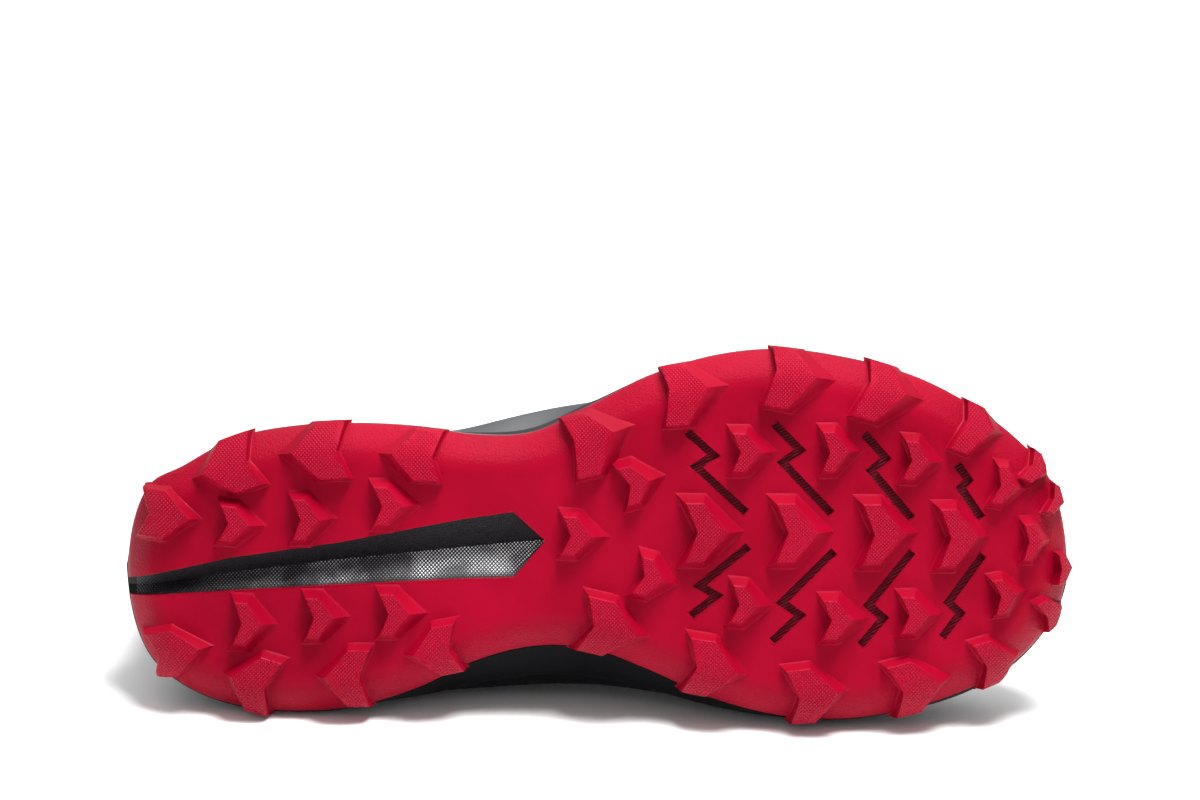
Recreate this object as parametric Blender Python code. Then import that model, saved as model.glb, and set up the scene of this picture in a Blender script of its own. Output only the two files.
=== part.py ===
"""Trail running shoe for the right foot, lying on its medial side.

The shoe is drawn upright first: x runs from heel to toe, y towards the medial
side, z up from the plane of the lug faces. One parent then lays it down, so
that the sole faces minus Y and the toe points along plus X.
"""
import math
from collections import namedtuple

import bmesh
import bpy
import numpy as np
from mathutils import Matrix, Vector
from mathutils.bvhtree import BVHTree

for old in list(bpy.data.objects):
    bpy.data.objects.remove(old)

# Sizes of the sole
SOLE_LENGTH = 0.2965
BALL_WIDTH = 0.1165
LUG_HEIGHT = 0.005
LUG_SIZE = 0.020
LUG_TAPER = (0.62, 0.76)
EDGE_TAPER = (0.76, 0.84)
LUG_ARM = 0.42
LUG_NOTCH = 0.27
LUG_ROOT = 0.0010
RUBBER = 0.003
GAP = 0.0004
TOE_SPRING = 0.015
TOE_SPRING_FROM = 0.67
HEEL_BEVEL = 0.006
HEEL_BEVEL_TO = 0.14
RIM_ROLL = 0.007
RIM_BAND = 0.012
SLOT_WIDTH = 0.002
GROOVE_DEPTH = 0.007
HEEL_STACK = 0.027
RIM_HEIGHT = 0.012
RIM_WALL = 0.004
BULGE = 0.002

# Sizes of the upper
HEEL_SET = 0.0202 * SOLE_LENGTH
LAST_LENGTH = 0.951 * SOLE_LENGTH
COLLAR_HEIGHT = 0.072
WALL = 0.0025
OVERLAY_GAP = 0.0003
OVERLAY = 0.001
INSOLE = 0.004
INSOLE_EASE = 0.0005
TONGUE_THICK = 0.005
TONGUE_THIN = 0.003
TONGUE_REACH = 0.028
EYELET_FIRST = 0.66
EYELET_STEP = 0.0468
EYELET_COUNT = 6
EYELET_INSET = 0.009
EYELET_RADIUS = 0.002
LACE_WIDTH = 0.006
LACE_THICK = 0.0012
LACE_START = 0.0032
LACE_CLEAR = 0.0024
LACE_OVER = 0.0031
LACE_UNDER = -0.0012
ABOVE = 2 * COLLAR_HEIGHT + HEEL_STACK

# Fineness of the faceted solids
STATIONS = 20
TREAD_COLUMNS = 12
BED_COLUMNS = 4

Outline = namedtuple("Outline", "along medial lateral")
Profile = namedtuple("Profile", "along bed rim")
Section = namedtuple("Section", "along centre medial lateral height")
Ring = namedtuple("Ring", "blend push rise")
Cut = namedtuple("Cut", "along lateral valley medial depth")
Slot = namedtuple("Slot", "along across forward inward")
Lug = namedtuple("Lug", "along across turn length span")
Top = namedtuple("Top", "reach width")

# Outline of the rubber, shares of sole length and ball width
OUTLINE = [
    Outline(0.00, 0.000, 0.000),
    Outline(0.02, 0.222, 0.211),
    Outline(0.06, 0.317, 0.276),
    Outline(0.12, 0.372, 0.357),
    Outline(0.19, 0.385, 0.390),
    Outline(0.25, 0.368, 0.395),
    Outline(0.31, 0.319, 0.387),
    Outline(0.37, 0.246, 0.366),
    Outline(0.43, 0.206, 0.374),
    Outline(0.49, 0.211, 0.447),
    Outline(0.55, 0.265, 0.525),
    Outline(0.62, 0.344, 0.582),
    Outline(0.69, 0.390, 0.600),
    Outline(0.76, 0.401, 0.577),
    Outline(0.83, 0.376, 0.528),
    Outline(0.89, 0.330, 0.452),
    Outline(0.94, 0.263, 0.360),
    Outline(0.98, 0.157, 0.241),
    Outline(1.00, 0.000, 0.000),
]

# Height of the foot bed and of the rim over it, shares of heel stack and rim height
PROFILE = [
    Profile(0.00, 1.00, 1.00),
    Profile(0.12, 1.00, 0.95),
    Profile(0.35, 0.94, 0.75),
    Profile(0.55, 0.87, 0.62),
    Profile(0.70, 0.83, 0.58),
    Profile(0.82, 0.88, 0.60),
    Profile(0.93, 1.02, 0.66),
    Profile(1.00, 1.17, 0.72),
]

# Rings up the side of the midsole, with one step
SIDE = [
    Ring(0.00, 0.3, 0.00),
    Ring(0.32, 0.9, 0.28),
    Ring(0.56, 1.2, 0.50),
    Ring(0.62, 0.6, 0.56),
    Ring(0.90, 0.6, 0.86),
    Ring(1.00, 0.0, 1.00),
]

# Feather line of the last, where the upper meets the bed
FEATHER = [
    Section(0.000, 0.0, 0.000, 0.000, 0.0),
    Section(0.038, 0.0, 0.189, 0.189, 0.0),
    Section(0.146, 0.0, 0.288, 0.288, 0.0),
    Section(0.309, 0.0, 0.313, 0.318, 0.0),
    Section(0.500, 0.0, 0.296, 0.378, 0.0),
    Section(0.691, 0.0, 0.343, 0.515, 0.0),
    Section(0.855, 0.0, 0.330, 0.468, 0.0),
    Section(0.961, 0.0, 0.215, 0.283, 0.0),
    Section(1.000, 0.0, 0.000, 0.000, 0.0),
]

# Widest line of the last
BELLY = [
    Section(-0.005, 0.0, 0.000, 0.000, 0.347),
    Section(0.034, 0.0, 0.197, 0.197, 0.347),
    Section(0.142, 0.0, 0.296, 0.296, 0.319),
    Section(0.298, 0.0, 0.309, 0.318, 0.292),
    Section(0.486, 0.0, 0.305, 0.373, 0.264),
    Section(0.681, 0.0, 0.356, 0.506, 0.194),
    Section(0.851, 0.0, 0.343, 0.472, 0.181),
    Section(0.963, 0.0, 0.223, 0.283, 0.194),
    Section(1.002, 0.0, 0.000, 0.000, 0.194),
]

# Shoulder line, heel height at the back and instep in the middle
SHOULDER = [
    Section(-0.004, 0.0, 0.000, 0.000, 0.708),
    Section(0.030, 0.0, 0.176, 0.176, 0.694),
    Section(0.128, 0.0, 0.270, 0.270, 0.625),
    Section(0.277, 0.0, 0.292, 0.296, 0.556),
    Section(0.447, 0.0, 0.266, 0.292, 0.625),
    Section(0.603, 0.0, 0.266, 0.369, 0.542),
    Section(0.773, 0.0, 0.223, 0.326, 0.444),
    Section(0.879, 0.0, 0.129, 0.172, 0.410),
    Section(0.915, 0.0, 0.000, 0.000, 0.403),
]

# Top line of the collar and then both edges of the throat
TOPLINE = [
    Section(0.011, 0.000, 0.000, 0.000, 1.000),
    Section(0.032, 0.000, 0.146, 0.146, 0.986),
    Section(0.113, 0.000, 0.249, 0.249, 0.875),
    Section(0.245, -0.009, 0.292, 0.292, 0.736),
    Section(0.397, -0.034, 0.189, 0.189, 1.056),
    Section(0.493, -0.060, 0.137, 0.137, 0.875),
    Section(0.589, -0.077, 0.120, 0.120, 0.681),
    Section(0.674, -0.094, 0.082, 0.082, 0.556),
    Section(0.702, -0.094, 0.000, 0.000, 0.535),
]
LEVELS = [0.0, 0.15, 0.40, 0.72, 1.0]
RIM_ROW = 1
ROWS = [0.0, 0.15, 0.27, 0.40, 0.50, 0.61, 0.72, 0.80, 0.87, 0.94, 1.0]
BAND_ROWS = 3

# Cut through the rubber from the back of the heel, and the groove over it
CUT = [
    Cut(-0.020, 0.042, 0.058, 0.080, 0.10),
    Cut(0.000, 0.030, 0.054, 0.076, 0.25),
    Cut(0.112, -0.038, 0.008, 0.052, 0.60),
    Cut(0.227, -0.081, -0.027, 0.034, 0.85),
    Cut(0.356, -0.145, -0.060, 0.017, 1.00),
    Cut(0.410, -0.165, -0.074, 0.012, 1.00),
    Cut(0.442, -0.091, -0.087, -0.083, 0.15),
]

# Slots through the forefoot rubber, each a zigzag of three strokes
SLOTS = [
    Slot(0.598, -0.372, 0.062, 0.215),
    Slot(0.689, -0.395, 0.061, 0.241),
    Slot(0.784, -0.368, 0.051, 0.229),
    Slot(0.883, -0.283, 0.027, 0.146),
    Slot(0.603, 0.122, 0.060, -0.188),
    Slot(0.689, 0.190, 0.064, -0.243),
    Slot(0.782, 0.202, 0.054, -0.252),
    Slot(0.869, 0.184, 0.043, -0.222),
]
ZIGZAG = [(0.0, 0.0), (0.45, 0.29), (0.15, 0.43), (1.0, 1.0)]

# Lugs along both edges of the heel: middle, turn in degrees, length and span in lug sizes
HEEL_EDGE_LUGS = [
    Lug(0.048, -0.149, -5, 1.05, 0.85),
    Lug(0.109, -0.278, 197, 1.19, 0.91),
    Lug(0.204, -0.320, 180, 1.23, 0.93),
    Lug(0.304, -0.315, 174, 1.05, 0.82),
    Lug(0.323, 0.215, 199, 0.92, 0.85),
    Lug(0.226, 0.294, 196, 0.93, 0.98),
    Lug(0.126, 0.305, 187, 0.97, 0.94),
    Lug(0.055, 0.217, 10, 1.10, 0.85),
]

# Lugs on both sides of the heel's opening
HEEL_LUGS = [
    Lug(0.124, -0.130, -5, 0.80, 0.75),
    Lug(0.199, -0.145, 0, 0.77, 0.86),
    Lug(0.285, -0.182, 0, 0.80, 0.82),
    Lug(0.137, 0.137, -3, 0.75, 0.90),
    Lug(0.213, 0.119, 0, 0.77, 0.85),
    Lug(0.292, 0.108, 0, 0.81, 0.85),
]

# Lugs along both edges of the forefoot and round the toe
EDGE_LUGS = [
    Lug(0.497, -0.373, 38, 1.31, 1.01),
    Lug(0.599, -0.501, 27, 1.12, 1.00),
    Lug(0.711, -0.533, 7, 1.16, 0.98),
    Lug(0.811, -0.482, -13, 1.03, 1.00),
    Lug(0.904, -0.378, -18, 0.88, 0.90),
    Lug(0.965, -0.283, -30, 0.50, 0.65),
    Lug(0.990, -0.191, -20, 0.40, 0.55),
    Lug(0.998, -0.004, 0, 0.34, 0.55),
    Lug(0.984, 0.115, 25, 0.50, 0.65),
    Lug(0.930, 0.242, 15, 0.80, 0.85),
    Lug(0.841, 0.312, 7, 1.07, 0.95),
    Lug(0.732, 0.338, -7, 1.05, 0.96),
    Lug(0.623, 0.272, -22, 1.08, 0.98),
    Lug(0.515, 0.161, -22, 1.23, 0.99),
]

# Lugs inside the forefoot
INNER_LUGS = [
    Lug(0.487, -0.097, -3, 0.82, 0.81),
    Lug(0.548, -0.242, 15, 0.78, 0.82),
    Lug(0.563, 0.017, -15, 0.75, 0.80),
    Lug(0.664, -0.324, 0, 0.80, 0.82),
    Lug(0.756, -0.326, 0, 0.73, 0.85),
    Lug(0.842, -0.299, -5, 0.73, 0.81),
    Lug(0.935, -0.227, -10, 0.62, 0.78),
    Lug(0.619, -0.109, 0, 1.06, 1.16),
    Lug(0.714, -0.109, 0, 1.06, 1.16),
    Lug(0.804, -0.104, 0, 1.03, 1.19),
    Lug(0.884, -0.092, 0, 0.96, 1.14),
    Lug(0.965, -0.077, 0, 0.53, 0.77),
    Lug(0.663, 0.086, -5, 0.75, 0.80),
    Lug(0.761, 0.125, 0, 0.83, 0.82),
    Lug(0.842, 0.115, 0, 0.78, 0.78),
    Lug(0.937, 0.065, 8, 0.64, 0.72),
]

# Free end of the tongue over the top eyelets
TONGUE_TOP = [Top(1.00, 0.58), Top(0.80, 0.78), Top(0.45, 0.82), Top(0.15, 0.87)]

# Upper edges of the overlays in side view: shares of last length and of collar height
Edge = namedtuple("Edge", "along height")
TOE_CAP = [
    Edge(0.935, 0.62),
    Edge(0.905, 0.47),
    Edge(0.860, 0.35),
    Edge(0.800, 0.26),
    Edge(0.730, 0.20),
    Edge(0.660, 0.15),
]
COUNTER = [
    Edge(-0.02, 0.90),
    Edge(0.06, 0.83),
    Edge(0.13, 0.66),
    Edge(0.19, 0.47),
    Edge(0.25, 0.31),
    Edge(0.30, 0.15),
]
EYESTAY = [
    Edge(0.400, 1.30),
    Edge(0.398, 1.00),
    Edge(0.412, 0.75),
    Edge(0.440, 0.50),
    Edge(0.480, 0.25),
]
EYESTAY_ROW = 7

DENSITY = {"outsole": 1150, "midsole": 190, "insole": 250, "upper": 520, "tongue": 230}
SHEET_DENSITY = 900


def curve(knots, values, at, ends):
    """Smooth curve through rows: cubic pieces whose slope at a row is that of its neighbours.

    ends says how the curve goes on past both ends: mirrored with the sign
    turned (odd), mirrored (even) or straight on (free).
    """
    knots = np.asarray(knots, float)
    values = np.asarray(values, float)
    at = np.asarray(at, float)
    if ends == "odd":
        first, last = -values[1], -values[-2]
    elif ends == "even":
        first, last = values[1], values[-2]
    else:
        first, last = 2 * values[0] - values[1], 2 * values[-1] - values[-2]
    wide = np.concatenate(([2 * knots[0] - knots[1]], knots, [2 * knots[-1] - knots[-2]]))
    full = np.concatenate(([first], values, [last]))
    shape = (-1,) + (1,) * (values.ndim - 1)
    slope = (full[2:] - full[:-2]) / (wide[2:] - wide[:-2]).reshape(shape)
    i = np.clip(np.searchsorted(knots, at, side="right") - 1, 0, len(knots) - 2)
    step = (knots[i + 1] - knots[i]).reshape(shape)
    t = (at - knots[i]).reshape(shape) / step
    start = (2 * t**3 - 3 * t**2 + 1) * values[i] + (t**3 - 2 * t**2 + t) * step * slope[i]
    end = (3 * t**2 - 2 * t**3) * values[i + 1] + (t**3 - t**2) * step * slope[i + 1]
    return start + end


def station(along):
    """Station between 0 and 1 of a share along the sole; stations crowd at heel and toe."""
    return np.arccos(1 - 2 * np.asarray(along, float)) / math.pi


def outline(at):
    """Points of both edges of the rubber, seen from above, at stations."""
    knots = station([row.along for row in OUTLINE])
    medial = curve(knots, [row.medial for row in OUTLINE], at, "odd") * BALL_WIDTH
    lateral = curve(knots, [row.lateral for row in OUTLINE], at, "odd") * BALL_WIDTH
    x = SOLE_LENGTH * (1 - np.cos(math.pi * np.asarray(at))) / 2
    return x, medial, -lateral


def loop(medial, lateral):
    """Closed ring of points: heel, medial side, toe, lateral side."""
    return np.concatenate((medial, lateral[-2:0:-1]))


def plan_loop(at):
    x, medial, lateral = outline(at)
    flat = np.zeros_like(x)
    return loop(np.stack((x, medial, flat), 1), np.stack((x, lateral, flat), 1))


EDGE = plan_loop(np.linspace(0, 1, 121))[:, :2]
EVEN = np.linspace(0, 1, STATIONS + 1)


def within(ring, x, y):
    """Whether spots seen from above lie inside a closed ring."""
    spot = np.stack((np.ravel(x), np.ravel(y)), 1)[:, None]
    start = ring[None]
    step = np.roll(ring, -1, 0)[None] - start
    over = (start[..., 1] > spot[..., 1]) != (start[..., 1] + step[..., 1] > spot[..., 1])
    rise = np.where(np.abs(step[..., 1]) < 1e-12, 1e-12, step[..., 1])
    cross = start[..., 0] + (spot[..., 1] - start[..., 1]) / rise * step[..., 0]
    return (over & (spot[..., 0] < cross)).sum(1) % 2 == 1


def edge_distance(x, y):
    """Distance to the edge of the rubber, less than nothing outside it."""
    spot = np.stack((np.ravel(x), np.ravel(y)), 1)[:, None]
    start = EDGE[None]
    step = np.roll(EDGE, -1, 0)[None] - start
    share = ((spot - start) * step).sum(2) / (step**2).sum(2)
    near = start + np.clip(share, 0, 1)[..., None] * step
    far = np.sqrt(((spot - near) ** 2).sum(2)).min(1)
    return np.where(within(EDGE, x, y), far, -far).reshape(np.shape(x))


def tread(x, y):
    """Height of the rubber's outer face: flat, bevelled at the heel, sprung at the toe,
    rolled up in a band along its edge."""
    along = np.asarray(x) / SOLE_LENGTH
    toe = np.clip((along - TOE_SPRING_FROM) / (1 - TOE_SPRING_FROM), 0, None) ** 1.8
    heel = np.clip((HEEL_BEVEL_TO - along) / HEEL_BEVEL_TO, 0, None) ** 2
    roll = np.clip(1 - edge_distance(x, y) / RIM_BAND, 0, None) ** 2
    return LUG_HEIGHT + TOE_SPRING * toe + HEEL_BEVEL * heel + RIM_ROLL * roll


def tread_normal(x, y):
    """Outward direction of the rubber's outer face."""
    step = 0.0005
    dx = (tread(x + step, y) - tread(x - step, y)) / (2 * step)
    dy = (tread(x, y + step) - tread(x, y - step)) / (2 * step)
    normal = np.stack((dx, dy, -np.ones_like(dx)), -1)
    return normal / np.linalg.norm(normal, axis=-1, keepdims=True)


def bed(x):
    """Height of the foot bed."""
    rows = [row.along for row in PROFILE]
    share = curve(rows, [row.bed for row in PROFILE], np.ravel(x) / SOLE_LENGTH, "even")
    return HEEL_STACK * share.reshape(np.shape(x))


def rim(x):
    """Height of the rim over the foot bed."""
    rows = [row.along for row in PROFILE]
    share = curve(rows, [row.rim for row in PROFILE], np.ravel(x) / SOLE_LENGTH, "even")
    return RIM_HEIGHT * share.reshape(np.shape(x))


def push(ring, far):
    """Ring moved outward, level, by a distance."""
    along = np.roll(ring, -1, 0) - np.roll(ring, 1, 0)
    out = np.stack((-along[:, 1], along[:, 0], np.zeros(len(ring))), 1)
    return ring + far * out / np.linalg.norm(out, axis=1, keepdims=True)


def last_ring(rows, height_at):
    """Closed ring of one level of the last."""
    knots = np.linspace(0, 1, len(rows))
    x = HEEL_SET + LAST_LENGTH * curve(knots, [row.along for row in rows], EVEN, "even")
    centre = BALL_WIDTH * curve(knots, [row.centre for row in rows], EVEN, "even")
    medial = BALL_WIDTH * curve(knots, [row.medial for row in rows], EVEN, "odd")
    lateral = BALL_WIDTH * curve(knots, [row.lateral for row in rows], EVEN, "odd")
    if height_at is None:
        z = HEEL_STACK + COLLAR_HEIGHT * curve(knots, [row.height for row in rows], EVEN, "even")
    else:
        z = height_at(x)
    near = np.stack((x, centre + medial, z), 1)
    away = np.stack((x, centre - lateral, z), 1)
    return loop(near, away)


def last_surface():
    """Grid of the upper's outer face, ring by row, and its outward directions."""
    rings = [
        last_ring(FEATHER, lambda x: bed(x) + GAP),
        last_ring(FEATHER, lambda x: bed(x) + rim(x) + GAP),
        last_ring(BELLY, None),
        last_ring(SHOULDER, None),
        last_ring(TOPLINE, None),
    ]
    grid = curve(LEVELS, np.array(rings), ROWS, "free").transpose(1, 0, 2)
    grid[:, RIM_ROW] = rings[1]
    along = np.roll(grid, -1, 0) - np.roll(grid, 1, 0)
    up = np.gradient(grid, axis=1)
    out = np.cross(up, along)
    return grid, out / np.linalg.norm(out, axis=2, keepdims=True)


def band(first, second):
    """Triangles between two closed rings of the same number of points."""
    faces = []
    count = len(first)
    for k in range(count):
        n = (k + 1) % count
        faces.append((first[k], first[n], second[n]))
        faces.append((first[k], second[n], second[k]))
    return faces


def sheet(rows):
    """Triangles of an open grid of point numbers; repeated points drop out."""
    faces = []
    for low, high in zip(rows[:-1], rows[1:]):
        for j in range(len(low) - 1):
            faces.append((low[j], high[j], high[j + 1]))
            faces.append((low[j], high[j + 1], low[j + 1]))
    return [face for face in faces if len(set(face)) == 3]


def body(name, points, faces):
    """One closed object from points and triangles, faces turned outward."""
    mesh = bpy.data.meshes.new(name)
    shape = bmesh.new()
    verts = [shape.verts.new(point) for point in points]
    for face in faces:
        shape.faces.new([verts[k] for k in face])
    bmesh.ops.remove_doubles(shape, verts=shape.verts, dist=0.00002)
    bmesh.ops.recalc_face_normals(shape, faces=shape.faces)
    shape.to_mesh(mesh)
    shape.free()
    obj = bpy.data.objects.new(name, mesh)
    bpy.context.scene.collection.objects.link(obj)
    return obj


def floor_of(ring, columns, height, shares):
    """Points and triangles that close a ring across, from its medial to its lateral side."""
    count = len(ring)
    half = count // 2
    numbers = []
    extra = []
    for i in range(half + 1):
        near, away = ring[i], ring[-i % count]
        row = [i]
        for j in range(1, columns):
            if i in (0, half):
                row.append(i)
                continue
            row.append(count + len(extra))
            extra.append(near + (away - near) * shares[j])
        row.append(-i % count)
        numbers.append(row)
    extra = np.array(extra)
    extra[:, 2] = height(extra[:, 0], extra[:, 1])
    return extra, sheet(numbers)


def stack(rings, bottom, top):
    """Points and triangles of a closed body: a bottom, rings up its side and a top."""
    count = len(rings[0])
    points = np.concatenate(rings)
    faces = []
    for level in range(len(rings) - 1):
        low = range(level * count, (level + 1) * count)
        high = range((level + 1) * count, (level + 2) * count)
        faces += band(low, high)
    for extra, face_rows, level in ((*bottom, 0), (*top, len(rings) - 1)):
        shift = len(points)
        place = lambda k: k + level * count if k < count else k - count + shift
        faces += [tuple(place(k) for k in face) for face in face_rows]
        points = np.concatenate((points, extra))
    return points, faces


def side_prism(name, rows, back, half_width):
    """Cutter drawn in side view and carried through the whole width: all that lies
    between a smooth edge and a far line at the toe or the heel."""
    at = np.linspace(0, len(rows) - 1, 3 * len(rows) - 2)
    edge = curve(range(len(rows)), [tuple(row) for row in rows], at, "free").tolist()
    edge += [(edge[-1][0], -0.3), (back, -0.3), (back, edge[0][1])]
    points = []
    for side in (-half_width, half_width):
        for along, height in edge:
            x = HEEL_SET + LAST_LENGTH * along
            points.append((x, side, HEEL_STACK + COLLAR_HEIGHT * height))
    return cutter(prism(name, points))


def prism(name, points):
    """Closed body between two equal outlines, the first half of the points and the second."""
    count = len(points) // 2
    mesh = bpy.data.meshes.new(name)
    shape = bmesh.new()
    verts = [shape.verts.new(point) for point in points]
    shape.faces.new(verts[:count])
    shape.faces.new(verts[:count - 1:-1])
    for k in range(count):
        n = (k + 1) % count
        shape.faces.new((verts[k], verts[n], verts[count + n], verts[count + k]))
    bmesh.ops.triangulate(shape, faces=shape.faces)
    bmesh.ops.recalc_face_normals(shape, faces=shape.faces)
    shape.to_mesh(mesh)
    shape.free()
    obj = bpy.data.objects.new(name, mesh)
    bpy.context.scene.collection.objects.link(obj)
    return obj


def cutter(obj):
    obj.hide_render = True
    obj.display_type = "WIRE"
    return obj


def combine(obj, other, operation, crossing=False):
    """Boolean of two bodies, left on the first as a modifier.

    crossing is set where parts of the other body cross each other.
    """
    step = obj.modifiers.new(other.name, "BOOLEAN")
    step.object = other
    step.operation = operation
    step.solver = "EXACT"
    step.use_self = crossing


def add_lugs():
    """All lugs in one cutter body: each a chevron of ribs, set on the rubber's face."""
    points = []
    faces = []
    edge_lugs = HEEL_EDGE_LUGS + EDGE_LUGS
    for row in edge_lugs + HEEL_LUGS + INNER_LUGS:
        ribs = (-1.0, -0.5, 0.0, 0.5, 1.0) if row in edge_lugs else (-1.0, 0.0, 1.0)
        taper = EDGE_TAPER if row in edge_lugs else LUG_TAPER
        turn = math.radians(-row.turn)
        length = row.length * LUG_SIZE
        span = row.span * LUG_SIZE
        start = len(points)
        for w in ribs:
            front = 0.5 - (1 - LUG_ARM) * abs(w)
            rear = -0.5 + LUG_NOTCH * (1 - abs(w))
            for lift, scale in ((-LUG_ROOT, (1.0, 1.0)), (LUG_HEIGHT, taper)):
                for end in (rear, front):
                    a = end * length * scale[0]
                    b = w * span / 2 * scale[1]
                    x = row.along * SOLE_LENGTH + a * math.cos(turn) - b * math.sin(turn)
                    y = row.across * BALL_WIDTH + a * math.sin(turn) + b * math.cos(turn)
                    x, y = np.array(x), np.array(y)
                    spot = np.array((x, y, tread(x, y)))
                    points.append(spot + lift * tread_normal(x, y))
        for k in range(len(ribs) - 1):
            low = [start + 4 * k + n for n in (0, 1, 3, 2)]
            high = [n + 4 for n in low]
            faces += sheet([low + low[:1], high + high[:1]])
        for k in (start, start + 4 * (len(ribs) - 1)):
            faces += [(k, k + 1, k + 3), (k, k + 3, k + 2)]
    return cutter(body("lug_blanks", points, faces))


def add_outsole():
    """Rubber sheet with its lugs joined on, cut open at the heel and slotted at the ball."""
    shares = (1 - np.cos(math.pi * np.linspace(0, 1, TREAD_COLUMNS + 1))) / 2
    shares = 0.5 * shares + 0.5 * np.linspace(0, 1, TREAD_COLUMNS + 1)
    low = plan_loop(EVEN)
    low[:, 2] = tread(low[:, 0], low[:, 1])
    high = low + (0, 0, RUBBER)
    bottom = floor_of(low, TREAD_COLUMNS, tread, shares)
    top = floor_of(high, TREAD_COLUMNS, lambda x, y: tread(x, y) + RUBBER, shares)
    outsole = body("outsole", *stack([low, high], bottom, top))
    combine(outsole, add_lugs(), "UNION", crossing=True)
    rows = [(row.along * SOLE_LENGTH, row.lateral * BALL_WIDTH) for row in CUT]
    rows += [(row.along * SOLE_LENGTH, row.medial * BALL_WIDTH) for row in CUT[::-1]]
    opening = prism("heel_opening", [(x, y, z) for z in (-0.02, 0.06) for x, y in rows])
    combine(outsole, cutter(opening), "DIFFERENCE")
    for number, row in enumerate(SLOTS):
        combine(outsole, slot_cutter(number, row), "DIFFERENCE")
    return outsole, low, shares


def slot_cutter(number, row):
    """Zigzag strip of one width, from its middle line and the directions of its strokes."""
    line = np.array(ZIGZAG) * (row.forward * SOLE_LENGTH, row.inward * BALL_WIDTH)
    line += (row.along * SOLE_LENGTH, row.across * BALL_WIDTH)
    step = np.diff(line, axis=0)
    step /= np.linalg.norm(step, axis=1, keepdims=True)
    side = np.stack((-step[:, 1], step[:, 0]), 1)
    corner = np.concatenate((side[:1], side[:-1] + side[1:], side[-1:]))
    reach = np.ones(len(corner))
    reach[1:-1] = 2 / (corner[1:-1] ** 2).sum(1)
    off = corner * reach[:, None] * SLOT_WIDTH / 2
    ring = np.concatenate((line + off, (line - off)[::-1]))
    points = [(x, y, z) for z in (-0.02, 0.06) for x, y in ring]
    return cutter(prism(f"slot_{number + 1}", points))


def groove_cutter():
    """Groove over the heel opening: two slopes that meet along the valley line."""
    points = []
    for row in CUT:
        x = np.full(3, row.along * SOLE_LENGTH)
        y = np.array((row.lateral, row.valley, row.medial)) * BALL_WIDTH
        z = tread(x, y) + RUBBER + GAP - 0.0003
        z[1] += row.depth * GROOVE_DEPTH
        points += [(x[0], y[0], z[0]), (x[1], y[1], z[1]), (x[2], y[2], z[2])]
        points += [(x[2], y[2], -0.02), (x[0], y[0], -0.02)]
    faces = []
    for k in range(len(CUT) - 1):
        low = [5 * k + n for n in (0, 1, 2, 3, 4, 0)]
        high = [n + 5 for n in low]
        faces += sheet([low, high])
    for start in (0, 5 * (len(CUT) - 1)):
        faces += [tuple(start + n for n in face) for face in ((0, 1, 2), (0, 2, 3), (0, 3, 4))]
    return cutter(body("heel_groove", points, faces))


def add_midsole(low, shares):
    """Foam shaped to the rubber below, with one step up its side and a rim round the upper."""
    lift = RUBBER + GAP
    base = low + (0, 0, lift)
    feather = last_ring(FEATHER, bed)
    rim_ring = push(feather, RIM_WALL)
    rim_ring[:, 2] = bed(feather[:, 0]) + rim(feather[:, 0])
    rings = [base]
    for row in SIDE:
        ring = base + (rim_ring - base) * row.blend
        ring = push(ring, row.push * BULGE)
        ring[:, 2] = base[:, 2] + (rim_ring[:, 2] - base[:, 2]) * row.rise
        rings.append(ring)
    inner = push(feather, GAP)
    top_inner = inner.copy()
    top_inner[:, 2] = rim_ring[:, 2]
    rings += [top_inner, inner]
    bottom = floor_of(base, TREAD_COLUMNS, lambda x, y: tread(x, y) + lift, shares)
    even = np.linspace(0, 1, BED_COLUMNS + 1)
    top = floor_of(inner, BED_COLUMNS, lambda x, y: bed(x), even)
    midsole = body("midsole", *stack(rings, bottom, top))
    combine(midsole, groove_cutter(), "DIFFERENCE")
    return midsole


def shell(name, outer, inner):
    """Closed wall between two grids of rings, open above and below."""
    count, rows = outer.shape[:2]
    points = np.concatenate((outer.reshape(-1, 3), inner.reshape(-1, 3)))
    number = np.arange(count * rows).reshape(count, rows)
    faces = []
    for layer in (number, number + count * rows):
        for j in range(rows - 1):
            faces += band(layer[:, j], layer[:, j + 1])
    for j in (0, rows - 1):
        faces += band(number[:, j], number[:, j] + count * rows)
    return body(name, points, faces)


def add_insole():
    """Sock liner on the foot bed, inside the upper's wall."""
    ring = push(last_ring(FEATHER, bed), -(WALL + INSOLE_EASE))
    low = ring + (0, 0, GAP)
    high = ring + (0, 0, GAP + INSOLE)
    even = np.linspace(0, 1, BED_COLUMNS + 1)
    bottom = floor_of(low, BED_COLUMNS, lambda x, y: bed(x) + GAP, even)
    top = floor_of(high, BED_COLUMNS, lambda x, y: bed(x) + GAP + INSOLE, even)
    return body("insole", *stack([low, high], bottom, top))


def bridge(near, before_near, away, before_away, count):
    """Points across the throat: a cubic from edge to edge that leaves both as the upper does."""
    chord = np.linalg.norm(away - near, axis=1, keepdims=True)
    one = near - before_near
    two = before_away - away
    one = 0.9 * chord * one / np.linalg.norm(one, axis=1, keepdims=True)
    two = 0.9 * chord * two / np.linalg.norm(two, axis=1, keepdims=True)
    rows = []
    for t in np.linspace(0, 1, count + 2)[1:-1]:
        start = (2 * t**3 - 3 * t**2 + 1) * near + (t**3 - 2 * t**2 + t) * one
        end = (3 * t**2 - 2 * t**3) * away + (t**3 - t**2) * two
        rows.append(start + end)
    return rows


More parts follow.
